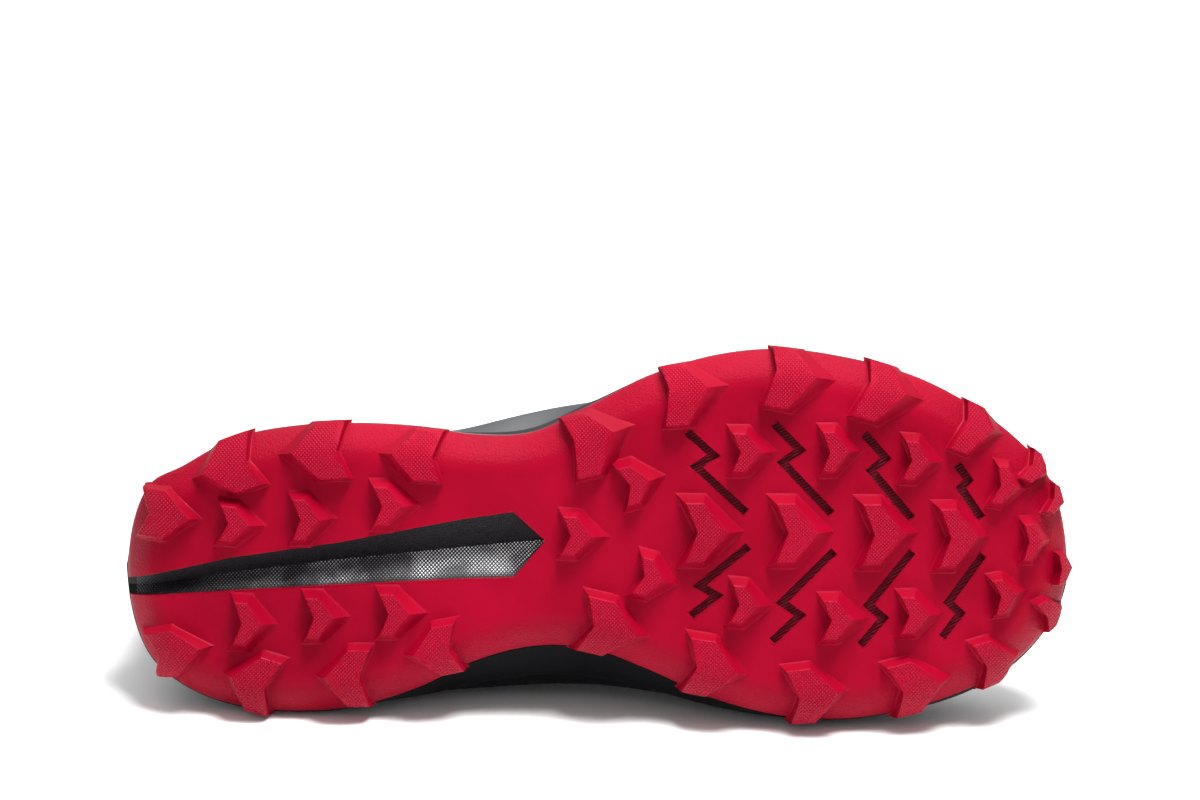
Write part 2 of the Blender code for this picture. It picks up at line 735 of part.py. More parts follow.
def throat_layer(grid, out, off, count, rows):
    """Rows of points from under one side of the throat to under the other, at a distance
    from the upper's outer face; the distance may differ from station to station."""
    half = STATIONS // 2
    near = np.arange(half, STATIONS + 1)
    away = (-near) % (2 * STATIONS)
    away[-1] = STATIONS
    layer = grid - out * off[:, None, None]
    medial = [layer[near, -k] for k in range(rows, 0, -1)]
    lateral = [layer[away, -k] for k in range(1, rows + 1)]
    middle = bridge(medial[-1], medial[-2], lateral[0], lateral[1], count)
    return np.array(medial + middle + lateral).transpose(1, 0, 2)


def add_tongue(grid, out):
    """Padded tongue: under both throat edges, arched between them, free above the top eyelets."""
    ring = np.arange(2 * STATIONS)
    far = np.minimum(ring, 2 * STATIONS - ring) / STATIONS
    thick = TONGUE_THICK + (TONGUE_THIN - TONGUE_THICK) * np.clip(2 * far - 1, 0, 1)
    face = np.full(len(ring), WALL + GAP)
    upper_face = throat_layer(grid, out, face, 5, BAND_ROWS)
    under_face = throat_layer(grid, out, face + thick, 5, BAND_ROWS)
    way = Vector((-0.64, 0, 0.77))
    free_upper = []
    free_under = []
    middle = (upper_face[0].mean(0) + under_face[0].mean(0)) / 2
    for row in TONGUE_TOP:
        go = np.array(way) * row.reach * TONGUE_REACH
        free_upper.append(middle + go + (upper_face[0] - middle) * row.width)
        free_under.append(middle + go + (under_face[0] - middle) * row.width)
    upper_face = np.concatenate((free_upper, upper_face))
    under_face = np.concatenate((free_under, under_face))
    rows, columns = upper_face.shape[:2]
    points = np.concatenate((upper_face.reshape(-1, 3), under_face.reshape(-1, 3)))
    number = np.arange(rows * columns).reshape(rows, columns)
    below = number + rows * columns
    faces = sheet(number.tolist()) + sheet(below.tolist())
    faces += sheet([number[:, 0].tolist(), below[:, 0].tolist()])
    faces += sheet([number[:, -1].tolist(), below[:, -1].tolist()])
    faces += sheet([number[0].tolist(), below[0].tolist()])
    return merged_body("tongue", points, faces)


def merged_body(name, points, faces):
    """Like body, for grids whose last row folds onto itself."""
    keys = {}
    place = []
    for point in np.round(np.asarray(points), 6):
        place.append(keys.setdefault(tuple(point), len(keys)))
    seen = {}
    for face in faces:
        spots = tuple(place[k] for k in face)
        if len(set(spots)) == 3:
            seen.setdefault(frozenset(spots), spots)
    return body(name, list(keys), list(seen.values()))


def throat_half(x):
    """Middle and half width of the throat at a distance from the heel."""
    rows = TOPLINE[4:]
    along = HEEL_SET + LAST_LENGTH * np.array([row.along for row in rows])
    centre = np.interp(x, along, [row.centre * BALL_WIDTH for row in rows])
    return centre, np.interp(x, along, [row.medial * BALL_WIDTH for row in rows])


def skin_tree(grid, out):
    """Outer face of the upper with the throat closed over, to lay things on."""
    count, rows = grid.shape[:2]
    number = np.arange(count * rows).reshape(count, rows)
    faces = []
    for j in range(rows - 1):
        faces += band(number[:, j], number[:, j + 1])
    over = throat_layer(grid, out, np.zeros(count), 9, 2)
    middle = over[:, 1:-1]
    shift = count * rows
    number = np.arange(middle.shape[0] * middle.shape[1]).reshape(middle.shape[:2]) + shift
    faces += sheet(number.tolist())
    points = np.concatenate((grid.reshape(-1, 3), middle.reshape(-1, 3)))
    return BVHTree.FromPolygons([tuple(point) for point in points], [tuple(map(int, f)) for f in faces])


def drop(tree, x, y):
    """Point and outward direction of the skin under a spot seen from above."""
    spot, normal, _, _ = tree.ray_cast(Vector((x, y, ABOVE)), Vector((0, 0, -1)))
    if normal.z < 0:
        normal = -normal
    return spot, normal


def eyelets(tree):
    """Spots of the eyelets seen from above, medial and lateral, toe end first: each a fixed
    distance down the upper from the edge of the throat."""
    rows = []
    steps = np.arange(32) * 0.0003
    for k in range(EYELET_COUNT):
        x = HEEL_SET + LAST_LENGTH * (EYELET_FIRST - k * EYELET_STEP)
        centre, half = throat_half(x)
        pair = []
        for side in (1, -1):
            line = centre + side * (half + steps)
            high = np.array([drop(tree, x, y)[0].z for y in line])
            walked = np.concatenate(([0], np.cumsum(np.hypot(np.diff(line), np.diff(high)))))
            pair.append((x, np.interp(EYELET_INSET, walked, line)))
        rows.append(pair)
    return rows


def hole_cutter(tree, spots):
    """Twelve round punches, each along the direction the upper faces at its spot."""
    points = []
    faces = []
    for pair in spots:
        for x, y in pair:
            spot, normal = drop(tree, x, y)
            turn = normal.to_track_quat("Z", "Y").to_matrix()
            start = len(points)
            for z in (-0.006, 0.006):
                for k in range(8):
                    angle = k * math.tau / 8
                    ring = Vector((math.cos(angle), math.sin(angle), 0)) * EYELET_RADIUS
                    points.append(spot + turn @ (ring + Vector((0, 0, z))))
            low = list(range(start, start + 8))
            high = list(range(start + 8, start + 16))
            faces += band(low, high)
            for k in range(1, 7):
                faces += [(low[0], low[k], low[k + 1]), (high[0], high[k], high[k + 1])]
    return cutter(body("eyelet_punches", points, faces))


def lace_strip(name, tree, throat, start, end, on_top):
    """Flat strip laid over the skin along a straight line seen from above.

    It ends just inside the far edge of the throat, under the eyestay's level. It starts
    on top of the near eyestay, or likewise just inside the near edge.
    """
    plan = np.array(start) + (np.array(end) - start) * np.linspace(0, 1, 81)[:, None]
    drops = [drop(tree, x, y) for x, y in plan]
    spots = np.array([spot for spot, _ in drops])
    normals = np.array([normal for _, normal in drops])
    walked = np.concatenate(([0], np.cumsum(np.linalg.norm(np.diff(spots, axis=0), axis=1))))
    enter, leave = walked[within(throat, plan[:, 0], plan[:, 1])][[0, -1]]
    finish = leave - LACE_CLEAR
    begin = LACE_START if on_top else enter + LACE_CLEAR
    at = np.linspace(begin, finish, 9)
    drop_from = enter + LACE_CLEAR if on_top else begin
    drop_to = drop_from + 0.7 * (finish - drop_from)
    lifts = np.interp(at, [drop_from, drop_to], [LACE_OVER if on_top else LACE_UNDER, LACE_UNDER])
    path = np.stack([np.interp(at, walked, spots[:, k]) for k in range(3)], 1)
    normals = np.stack([np.interp(at, walked, normals[:, k]) for k in range(3)], 1)
    normals[1:-1] = normals[1:-1] + normals[:-2] + normals[2:]
    normals /= np.linalg.norm(normals, axis=1, keepdims=True)
    path += normals * lifts[:, None]
    side = np.cross(np.gradient(path, axis=0), normals)
    side *= LACE_WIDTH / 2 / np.linalg.norm(side, axis=1, keepdims=True)
    up = normals * LACE_THICK / 2
    ring = np.stack((path - side - up, path + side - up, path + side + up, path - side + up), 1)
    number = np.arange(ring.shape[0] * 4).reshape(-1, 4)
    number = np.concatenate((number, number[:, :1]), 1)
    faces = sheet(number.tolist())
    for k in (0, 4 * (len(path) - 1)):
        faces += [(k, k + 1, k + 2), (k, k + 2, k + 3)]
    return body(name, ring.reshape(-1, 3), faces)


def add_laces(tree, throat, spots):
    """Straight bar at the toe end and one crossing to each further pair of eyelets."""
    laces = [lace_strip("lace_bar", tree, throat, *spots[0], False)]
    for k in range(EYELET_COUNT - 1):
        low, high = spots[k], spots[k + 1]
        cross = lace_strip(f"lace_cross_{k + 1}", tree, throat, low[0], high[1], True)
        other = lace_strip(f"lace_half_{k + 1}", tree, throat, low[1], high[0], True)
        combine(cross, cutter(other), "UNION")
        laces.append(cross)
    return laces


def add_overlays(grid, out, holes):
    """Toe cap, heel counter and eyestay: one thin shell over the upper, cut in side view."""
    layers = []
    for far in (OVERLAY_GAP, OVERLAY_GAP + OVERLAY):
        layers.append(grid + out * far)
    made = []
    plans = (("toe_cap", TOE_CAP, 1.05, RIM_ROW), ("heel_counter", COUNTER, -0.1, RIM_ROW),
             ("eyestay", EYESTAY, 1.1, EYESTAY_ROW))
    for name, rows, back, start in plans:
        overlay = shell(name, layers[1][:, start:], layers[0][:, start:])
        combine(overlay, side_prism(name + "_cut", rows, back, BALL_WIDTH), "INTERSECT")
        made.append(overlay)
    combine(made[2], holes, "DIFFERENCE")
    return made


def finish(objects, colours):
    """Own plain material on each object."""
    for obj, (colour, rough) in zip(objects, colours):
        material = bpy.data.materials.new(obj.name)
        material.use_nodes = True
        shader = material.node_tree.nodes["Principled BSDF"]
        shader.inputs["Base Color"].default_value = (*colour, 1)
        shader.inputs["Roughness"].default_value = rough
        obj.data.materials.append(material)


def measure(objects):
    """Points of all finished objects, and the point the whole shoe balances on."""
    depsgraph = bpy.context.evaluated_depsgraph_get()
    clouds = []
    weight = 0.0
    moment = np.zeros(3)
    for obj in objects:
        mesh = obj.evaluated_get(depsgraph).to_mesh()
        mesh.calc_loop_triangles()
        points = np.empty(len(mesh.vertices) * 3)
        mesh.vertices.foreach_get("co", points)
        points = points.reshape(-1, 3)
        corners = np.empty(len(mesh.loop_triangles) * 3, int)
        mesh.loop_triangles.foreach_get("vertices", corners)
        a, b, c = points[corners.reshape(-1, 3)].transpose(1, 0, 2)
        volume = (np.cross(a, b) * c).sum(1) / 6
        mass = volume * DENSITY.get(obj.name, SHEET_DENSITY)
        weight += mass.sum()
        moment += (mass[:, None] * (a + b + c) / 4).sum(0)
        clouds.append(points)
        print(obj.name, "cm3", round(volume.sum() * 1e6, 1), "g", round(mass.sum() * 1e3, 1))
    print("whole shoe g", round(weight * 1e3, 1))
    return np.concatenate(clouds), moment / weight


def lay_down(objects):
    """Parent that turns the shoe onto its medial side, at rest on sole edge and upper."""
    points, balance = measure(objects)
    shape = bmesh.new()
    for point in points:
        shape.verts.new(point)
    bmesh.ops.convex_hull(shape, input=shape.verts)
    rest = None
    for face in shape.faces:
        if face.normal.y < 0.85:
            continue
        corners = [np.array(vert.co) for vert in face.verts]
        normal = np.array(face.normal)
        inside = all(
            np.dot(np.cross(corners[(k + 1) % 3] - corners[k], balance - corners[k]), normal) > 0
            for k in range(3)
        )
        if inside:
            rest = face.normal.copy()
            print("rests on", [tuple(round(c * 1000, 1) for c in corner) for corner in corners])
    shape.free()
    lie = Matrix.Rotation(-math.pi / 2, 3, "X")
    down = lie @ rest
    settle = down.rotation_difference(Vector((0, 0, -1))).to_matrix()
    turn = settle @ lie
    turned = points @ np.array(turn).T
    low, high = turned.min(0), turned.max(0)
    print("balance", (balance * 1000).round(1), "lean", round(math.degrees(down.angle((0, 0, -1))), 2))
    parent = bpy.data.objects.new("shoe_frame", None)
    bpy.context.scene.collection.objects.link(parent)
    parent.rotation_mode = "QUATERNION"
    parent.rotation_quaternion = turn.to_quaternion()
    parent.location = (-(low[0] + high[0]) / 2, -(low[1] + high[1]) / 2, -low[2])
    print("size mm", ((high - low) * 1000).round(1))
    for obj in bpy.context.scene.objects:
        if obj.type == "MESH":
            obj.parent = parent


outsole, low_ring, tread_shares = add_outsole()
midsole = add_midsole(low_ring, tread_shares)
face_grid, face_out = last_surface()
inner_grid = face_grid - face_out * WALL
inner_grid[:, 0, 2] = face_grid[:, 0, 2]
upper = shell("upper", face_grid, inner_grid)
skin = skin_tree(face_grid, face_out)
eyelet_spots = eyelets(skin)
punches = hole_cutter(skin, eyelet_spots)
combine(upper, punches, "DIFFERENCE")
insole = add_insole()
tongue = add_tongue(face_grid, face_out)
toe_cap, heel_counter, eyestay = add_overlays(face_grid, face_out, punches)
throat_ring = face_grid[STATIONS // 2:STATIONS * 3 // 2 + 1, -1, :2]
laces = add_laces(skin, throat_ring, eyelet_spots)

NODES = [outsole, midsole, insole, upper, toe_cap, heel_counter, eyestay, tongue] + laces
RED = (0.479, 0.0015, 0.026)
BLACK = (0.012, 0.011, 0.014)
finish(NODES, [(RED, 0.62), (BLACK, 0.5), ((0.02, 0.02, 0.022), 0.9), ((0.015, 0.015, 0.017), 0.85),
               ((0.013, 0.013, 0.014), 0.45), ((0.013, 0.013, 0.014), 0.5), ((0.02, 0.02, 0.02), 0.6),
               ((0.018, 0.018, 0.02), 0.85)] + [((0.03, 0.03, 0.032), 0.8)] * len(laces))
lay_down(NODES)
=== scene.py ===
# %% [markdown]
# # A trail running shoe, lying on its side with its sole to the viewer
#
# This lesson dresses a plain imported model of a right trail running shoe. The
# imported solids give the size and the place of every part. Here each part gets
# the form that the eye expects: a moulded rubber sole with knurled lugs, a foam
# midsole, a knitted upper with welded overlays, a padded tongue and collar and
# a flat woven lace. The solids come in first and stay as they are.

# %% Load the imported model
import math
from collections import namedtuple

import bmesh
import bpy
import numpy as np
from mathutils import Matrix, Vector
from mathutils.bvhtree import BVHTree


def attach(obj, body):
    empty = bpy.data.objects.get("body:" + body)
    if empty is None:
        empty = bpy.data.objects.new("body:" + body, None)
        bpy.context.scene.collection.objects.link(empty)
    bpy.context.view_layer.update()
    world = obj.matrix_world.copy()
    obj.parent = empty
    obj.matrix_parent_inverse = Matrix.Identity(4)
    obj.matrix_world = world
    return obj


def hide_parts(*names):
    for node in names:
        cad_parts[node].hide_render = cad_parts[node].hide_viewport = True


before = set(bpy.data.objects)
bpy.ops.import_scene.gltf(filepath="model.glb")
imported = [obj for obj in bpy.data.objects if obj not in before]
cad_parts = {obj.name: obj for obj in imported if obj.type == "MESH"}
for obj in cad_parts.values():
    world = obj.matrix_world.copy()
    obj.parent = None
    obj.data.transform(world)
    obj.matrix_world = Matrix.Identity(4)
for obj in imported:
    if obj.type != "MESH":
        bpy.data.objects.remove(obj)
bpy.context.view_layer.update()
print("nodes", sorted(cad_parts))

# %% [markdown]
# ## The shoe's own axes
#
# A shoe is drawn most easily the way a last stands: x from heel to toe, y towards
# the inner side of the foot and z up. The real one then rests on its side, on the
# edge of the sole and the upper. One turn and one shift lay every point down, so
# all shapes below are worked out standing and never have to be turned again.

# %% Standing axes to resting axes
TURN = np.array([
    (0.999714, 0.023797, 0.002366),
    (0.002366, -0.196902, 0.980420),
    (0.023797, -0.980134, -0.196902),
])
SHIFT = np.array((-0.150756, -0.059727, 0.046987))


def lay(points):
    """Points of the standing shoe, turned and shifted to where it rests."""
    return np.asarray(points) @ TURN.T + SHIFT


print("middle of the sole rests at", lay((0.148, 0, 0.01)).round(3))

# %% [markdown]
# ## Sizes and the few tables that shape the shoe
#
# A shoemaker draws an outline for the sole and a handful of level lines for the
# last. The same is done here: short tables hold shares of the sole's length and
# of the width at the ball, and a smooth curve through them gives every point.

# %% Sizes
# Sizes of the sole
SOLE_LENGTH = 0.2965
BALL_WIDTH = 0.1165
LUG_HEIGHT = 0.005
LUG_SIZE = 0.020
RUBBER = 0.003
GAP = 0.0004
TOE_SPRING = 0.015
TOE_SPRING_FROM = 0.67
HEEL_BEVEL = 0.006
HEEL_BEVEL_TO = 0.14
RIM_ROLL = 0.007
RIM_BAND = 0.012
SLOT_WIDTH = 0.002
GROOVE_DEPTH = 0.007
HEEL_STACK = 0.027
RIM_HEIGHT = 0.012
RIM_WALL = 0.004
BULGE = 0.002

# Sizes of the upper
HEEL_SET = 0.0202 * SOLE_LENGTH
LAST_LENGTH = 0.951 * SOLE_LENGTH
COLLAR_HEIGHT = 0.072
WALL = 0.0025
OVERLAY_GAP = 0.0003
OVERLAY = 0.001
INSOLE = 0.004
INSOLE_EASE = 0.0005
TONGUE_THICK = 0.005
TONGUE_THIN = 0.003
TONGUE_REACH = 0.028
EYELET_FIRST = 0.66
EYELET_STEP = 0.0468
EYELET_COUNT = 6
EYELET_INSET = 0.009
EYELET_RADIUS = 0.002
LACE_WIDTH = 0.006
LACE_THICK = 0.0012
ABOVE = 2 * COLLAR_HEIGHT + HEEL_STACK
print("sole", SOLE_LENGTH, "by", BALL_WIDTH, "m")

# %% Outline of the rubber sole
Outline = namedtuple("Outline", "along medial lateral")
OUTLINE = [
    Outline(0.00, 0.000, 0.000),
    Outline(0.02, 0.222, 0.211),
    Outline(0.06, 0.317, 0.276),
    Outline(0.12, 0.372, 0.357),
    Outline(0.19, 0.385, 0.390),
    Outline(0.25, 0.368, 0.395),
    Outline(0.31, 0.319, 0.387),
    Outline(0.37, 0.246, 0.366),
    Outline(0.43, 0.206, 0.374),
    Outline(0.49, 0.211, 0.447),
    Outline(0.55, 0.265, 0.525),
    Outline(0.62, 0.344, 0.582),
    Outline(0.69, 0.390, 0.600),
    Outline(0.76, 0.401, 0.577),
    Outline(0.83, 0.376, 0.528),
    Outline(0.89, 0.330, 0.452),
    Outline(0.94, 0.263, 0.360),
    Outline(0.98, 0.157, 0.241),
    Outline(1.00, 0.000, 0.000),
]
print("outline rows", len(OUTLINE))

# %% Foot bed, rim and side of the midsole
Profile = namedtuple("Profile", "along bed rim")
Ring = namedtuple("Ring", "blend push rise")
PROFILE = [
    Profile(0.00, 1.00, 1.00),
    Profile(0.12, 1.00, 0.95),
    Profile(0.35, 0.94, 0.75),
    Profile(0.55, 0.87, 0.62),
    Profile(0.70, 0.83, 0.58),
    Profile(0.82, 0.88, 0.60),
    Profile(0.93, 1.02, 0.66),
    Profile(1.00, 1.17, 0.72),
]
SIDE = [
    Ring(0.00, 0.3, 0.00),
    Ring(0.32, 0.9, 0.28),
    Ring(0.56, 1.2, 0.50),
    Ring(0.62, 0.6, 0.56),
    Ring(0.90, 0.6, 0.86),
    Ring(1.00, 0.0, 1.00),
]
print("rows of the bed", len(PROFILE), "rows of the side", len(SIDE))

# %% Level lines of the last
Section = namedtuple("Section", "along centre medial lateral height")
FEATHER = [
    Section(0.000, 0.0, 0.000, 0.000, 0.0),
    Section(0.038, 0.0, 0.189, 0.189, 0.0),
    Section(0.146, 0.0, 0.288, 0.288, 0.0),
    Section(0.309, 0.0, 0.313, 0.318, 0.0),
    Section(0.500, 0.0, 0.296, 0.378, 0.0),
    Section(0.691, 0.0, 0.343, 0.515, 0.0),
    Section(0.855, 0.0, 0.330, 0.468, 0.0),
    Section(0.961, 0.0, 0.215, 0.283, 0.0),
    Section(1.000, 0.0, 0.000, 0.000, 0.0),
]
BELLY = [
    Section(-0.005, 0.0, 0.000, 0.000, 0.347),
    Section(0.034, 0.0, 0.197, 0.197, 0.347),
    Section(0.142, 0.0, 0.296, 0.296, 0.319),
    Section(0.298, 0.0, 0.309, 0.318, 0.292),
    Section(0.486, 0.0, 0.305, 0.373, 0.264),
    Section(0.681, 0.0, 0.356, 0.506, 0.194),
    Section(0.851, 0.0, 0.343, 0.472, 0.181),
    Section(0.963, 0.0, 0.223, 0.283, 0.194),
    Section(1.002, 0.0, 0.000, 0.000, 0.194),
]
SHOULDER = [
    Section(-0.004, 0.0, 0.000, 0.000, 0.708),
    Section(0.030, 0.0, 0.176, 0.176, 0.694),
    Section(0.128, 0.0, 0.270, 0.270, 0.625),
    Section(0.277, 0.0, 0.292, 0.296, 0.556),
    Section(0.447, 0.0, 0.266, 0.292, 0.625),
    Section(0.603, 0.0, 0.266, 0.369, 0.542),
    Section(0.773, 0.0, 0.223, 0.326, 0.444),
    Section(0.879, 0.0, 0.129, 0.172, 0.410),
    Section(0.915, 0.0, 0.000, 0.000, 0.403),
]
TOPLINE = [
    Section(0.011, 0.000, 0.000, 0.000, 1.000),
    Section(0.032, 0.000, 0.146, 0.146, 0.986),
    Section(0.113, 0.000, 0.249, 0.249, 0.875),
    Section(0.245, -0.009, 0.292, 0.292, 0.736),
    Section(0.397, -0.034, 0.189, 0.189, 1.056),
    Section(0.493, -0.060, 0.137, 0.137, 0.875),
    Section(0.589, -0.077, 0.120, 0.120, 0.681),
    Section(0.674, -0.094, 0.082, 0.082, 0.556),
    Section(0.702, -0.094, 0.000, 0.000, 0.535),
]
LEVELS = [0.0, 0.15, 0.40, 0.72, 1.0]
RIM_ROW = 1
print("levels of the last", len(LEVELS))

# %% [markdown]
# ## Smooth curves through a few rows
#
# Blender's own curves would do, but a formula keeps every piece on exactly the
# same line. Each stretch between two rows is a cubic whose slope at a row is the
# slope between that row's neighbours. At heel and toe the outline turns round
# a blunt end, so stations are spaced by an arc and crowd there.

# %% Smooth curve and outline
def curve(knots, values, at, ends):
    """Smooth curve through rows: cubic pieces whose slope at a row is that of its neighbours.

    ends says how the curve goes on past both ends: mirrored with the sign
    turned (odd), mirrored (even) or straight on (free).
    """
    knots = np.asarray(knots, float)
    values = np.asarray(values, float)
    at = np.asarray(at, float)
    if ends == "odd":
        first, last = -values[1], -values[-2]
    elif ends == "even":
        first, last = values[1], values[-2]
    else:
        first, last = 2 * values[0] - values[1], 2 * values[-1] - values[-2]
    wide = np.concatenate(([2 * knots[0] - knots[1]], knots, [2 * knots[-1] - knots[-2]]))
    full = np.concatenate(([first], values, [last]))
    shape = (-1,) + (1,) * (values.ndim - 1)
    slope = (full[2:] - full[:-2]) / (wide[2:] - wide[:-2]).reshape(shape)
    i = np.clip(np.searchsorted(knots, at, side="right") - 1, 0, len(knots) - 2)
    step = (knots[i + 1] - knots[i]).reshape(shape)
    t = (at - knots[i]).reshape(shape) / step
    start = (2 * t**3 - 3 * t**2 + 1) * values[i] + (t**3 - 2 * t**2 + t) * step * slope[i]
    end = (3 * t**2 - 2 * t**3) * values[i + 1] + (t**3 - t**2) * step * slope[i + 1]
    return start + end


def station(along):
    """Station between 0 and 1 of a share along the sole; stations crowd at heel and toe."""
    return np.arccos(1 - 2 * np.asarray(along, float)) / math.pi


def outline(at):
    """Points of both edges of the rubber, seen from above, at stations."""
    knots = station([row.along for row in OUTLINE])
    medial = curve(knots, [row.medial for row in OUTLINE], at, "odd") * BALL_WIDTH
    lateral = curve(knots, [row.lateral for row in OUTLINE], at, "odd") * BALL_WIDTH
    x = SOLE_LENGTH * (1 - np.cos(math.pi * np.asarray(at))) / 2
    return x, medial, -lateral


def loop(medial, lateral):
    """Closed ring of points: heel, medial side, toe, lateral side."""
    return np.concatenate((medial, lateral[-2:0:-1]))


def plan_loop(at):
    """Outline as one closed ring of flat points: the two edges joined end to end."""
    x, medial, lateral = outline(at)
    flat = np.zeros_like(x)
    return loop(np.stack((x, medial, flat), 1), np.stack((x, lateral, flat), 1))


EDGE = plan_loop(np.linspace(0, 1, 121))[:, :2]
print("sole", (np.ptp(EDGE, axis=0) * 1000).round(1), "mm")

# %% [markdown]
# ## The face of the rubber
#
# An outsole isn't flat. It lifts at the toe so that the foot can roll off, it is
# bevelled at the heel and its edge is rolled up round the foam. All three are
# one height formula, and everything on the sole is set on it.

# %% Height of the rubber's face
def within(ring, x, y):
    """Whether spots seen from above lie inside a closed ring."""
    spot = np.stack((np.ravel(x), np.ravel(y)), 1)[:, None]
    start = ring[None]
    step = np.roll(ring, -1, 0)[None] - start
    over = (start[..., 1] > spot[..., 1]) != (start[..., 1] + step[..., 1] > spot[..., 1])
    rise = np.where(np.abs(step[..., 1]) < 1e-12, 1e-12, step[..., 1])
    cross = start[..., 0] + (spot[..., 1] - start[..., 1]) / rise * step[..., 0]
    return (over & (spot[..., 0] < cross)).sum(1) % 2 == 1


def edge_distance(x, y):
    """Distance to the edge of the rubber, less than nothing outside it: the shortest way
    to any short straight piece of the outline."""
    shape = np.shape(x)
    spots = np.stack((np.ravel(x), np.ravel(y)), 1)
    step = np.roll(EDGE, -1, 0) - EDGE
    far = []
    for part in np.array_split(spots, len(spots) // 4000 + 1):
        away = part[:, None] - EDGE
        share = np.clip((away * step).sum(2) / (step**2).sum(1), 0, 1)
        gap = np.sqrt(((away - share[..., None] * step) ** 2).sum(2)).min(1)
        far.append(np.where(within(EDGE, part[:, 0], part[:, 1]), gap, -gap))
    return np.concatenate(far).reshape(shape)


def tread(x, y):
    """Height of the rubber's outer face: flat, bevelled at the heel, sprung at the toe,
    rolled up in a band along its edge."""
    along = np.asarray(x) / SOLE_LENGTH
    toe = np.clip((along - TOE_SPRING_FROM) / (1 - TOE_SPRING_FROM), 0, None) ** 1.8
    heel = np.clip((HEEL_BEVEL_TO - along) / HEEL_BEVEL_TO, 0, None) ** 2
    roll = np.clip(1 - edge_distance(x, y) / RIM_BAND, 0, None) ** 2
    return LUG_HEIGHT + TOE_SPRING * toe + HEEL_BEVEL * heel + RIM_ROLL * roll


def tread_normal(x, y):
    """Outward direction of the face: minus one in height and the two slopes beside it."""
    step = 0.0005
    dx = (tread(x + step, y) - tread(x - step, y)) / (2 * step)
    dy = (tread(x, y + step) - tread(x, y - step)) / (2 * step)
    normal = np.stack((dx, dy, -np.ones_like(dx)), -1)
    return normal / np.linalg.norm(normal, axis=-1, keepdims=True)


print("rim stands", round(float(tread(0.15, 0.03) - tread(0.15, 0.0)) * 1000, 2), "mm over the face")

# %% Foot bed, rim and a ring moved outward
def bed(x):
    """Height of the foot bed."""
    rows = [row.along for row in PROFILE]
    share = curve(rows, [row.bed for row in PROFILE], np.ravel(x) / SOLE_LENGTH, "even")
    return HEEL_STACK * share.reshape(np.shape(x))


def rim(x):
    """Height of the rim over the foot bed."""
    rows = [row.along for row in PROFILE]
    share = curve(rows, [row.rim for row in PROFILE], np.ravel(x) / SOLE_LENGTH, "even")
    return RIM_HEIGHT * share.reshape(np.shape(x))


def push(ring, far):
    """Ring moved outward, level, by a distance."""
    along = np.roll(ring, -1, 0) - np.roll(ring, 1, 0)
    out = np.stack((-along[:, 1], along[:, 0], np.zeros(len(ring))), 1)
    return ring + far * out / np.linalg.norm(out, axis=1, keepdims=True)


print("bed at the heel", round(float(bed(np.array(0.03))) * 1000, 1), "mm up")

# %% [markdown]
# ## From a grid of points to a mesh
#
# Every new piece is a grid: one number runs along it, the other across. Four
# neighbours make a face. Where a ring closes to a point, the doubled points are
# merged, and only then are the faces turned outward. Each point also keeps where
# it lies on the shoe, so that a grain or a weave can follow the surface.

# %% Grid faces and finished meshes
def quads(rows, columns, round_rows=False, round_columns=False, start=0):
    """Faces of a grid of rows by columns of points; a round side joins its last to its first."""
    number = np.arange(rows * columns).reshape(rows, columns) + start
    if round_rows:
        number = np.vstack((number, number[:1]))
    if round_columns:
        number = np.hstack((number, number[:, :1]))
    corners = (number[:-1, :-1], number[1:, :-1], number[1:, 1:], number[:-1, 1:])
    return np.stack(corners, -1).reshape(-1, 4)


def piece(name, points, faces, weld=0.000002, crease=None, outward=True, **marks):
    """One object from points of the standing shoe and faces.

    marks are numbers or triples kept at each point, for the materials to read.
    crease is the angle in degrees past which an edge stays sharp.
    """
    mesh = bpy.data.meshes.new(name)
    mesh.from_pydata(lay(points).tolist(), [], [tuple(face) for face in np.asarray(faces).tolist()])
    for mark, values in marks.items():
        values = np.asarray(values, float)
        kind = "FLOAT" if values.ndim == 1 else "FLOAT_VECTOR"
        layer = mesh.attributes.new(mark, kind, "POINT")
        layer.data.foreach_set("value" if values.ndim == 1 else "vector", values.ravel())
    shape = bmesh.new()
    shape.from_mesh(mesh)
    if weld:
        bmesh.ops.remove_doubles(shape, verts=shape.verts, dist=weld)
    if outward:
        bmesh.ops.recalc_face_normals(shape, faces=shape.faces)
    shape.to_mesh(mesh)
    shape.free()
    mesh.shade_smooth()
    if crease:
        mesh.set_sharp_from_angle(angle=math.radians(crease))
    obj = bpy.data.objects.new(name, mesh)
    bpy.context.scene.collection.objects.link(obj)
    return obj


def applied(obj):
    """The object with its modifiers worked into its mesh."""
    depsgraph = bpy.context.evaluated_depsgraph_get()
    mesh = bpy.data.meshes.new_from_object(obj.evaluated_get(depsgraph), depsgraph=depsgraph)
    old = obj.data
    obj.modifiers.clear()
    obj.data = mesh
    bpy.data.meshes.remove(old)
    return obj


def cut(obj, other, crease=None):
    """Cuts one closed body out of another and throws the cutting body away."""
    step = obj.modifiers.new("cut", "BOOLEAN")
    step.object = other
    step.operation = "DIFFERENCE"
    step.solver = "EXACT"
    step.material_mode = "TRANSFER"
    applied(obj)
    bpy.data.objects.remove(other)
    if crease:
        obj.data.set_sharp_from_angle(angle=math.radians(crease))
    return obj


def tell(obj):
    """Prints a finished piece's number of faces."""
    print(obj.name, len(obj.data.polygons), "faces")
    return obj


print("helpers ready")

# %% [markdown]
# ## Finishes
#
# A finish is a Principled shader with a few nodes in front of it: a grain for the
# bump, a soft unevenness for the colour, and a changing roughness. A short helper
# wires them, so a finish reads as a list of what the real surface shows.

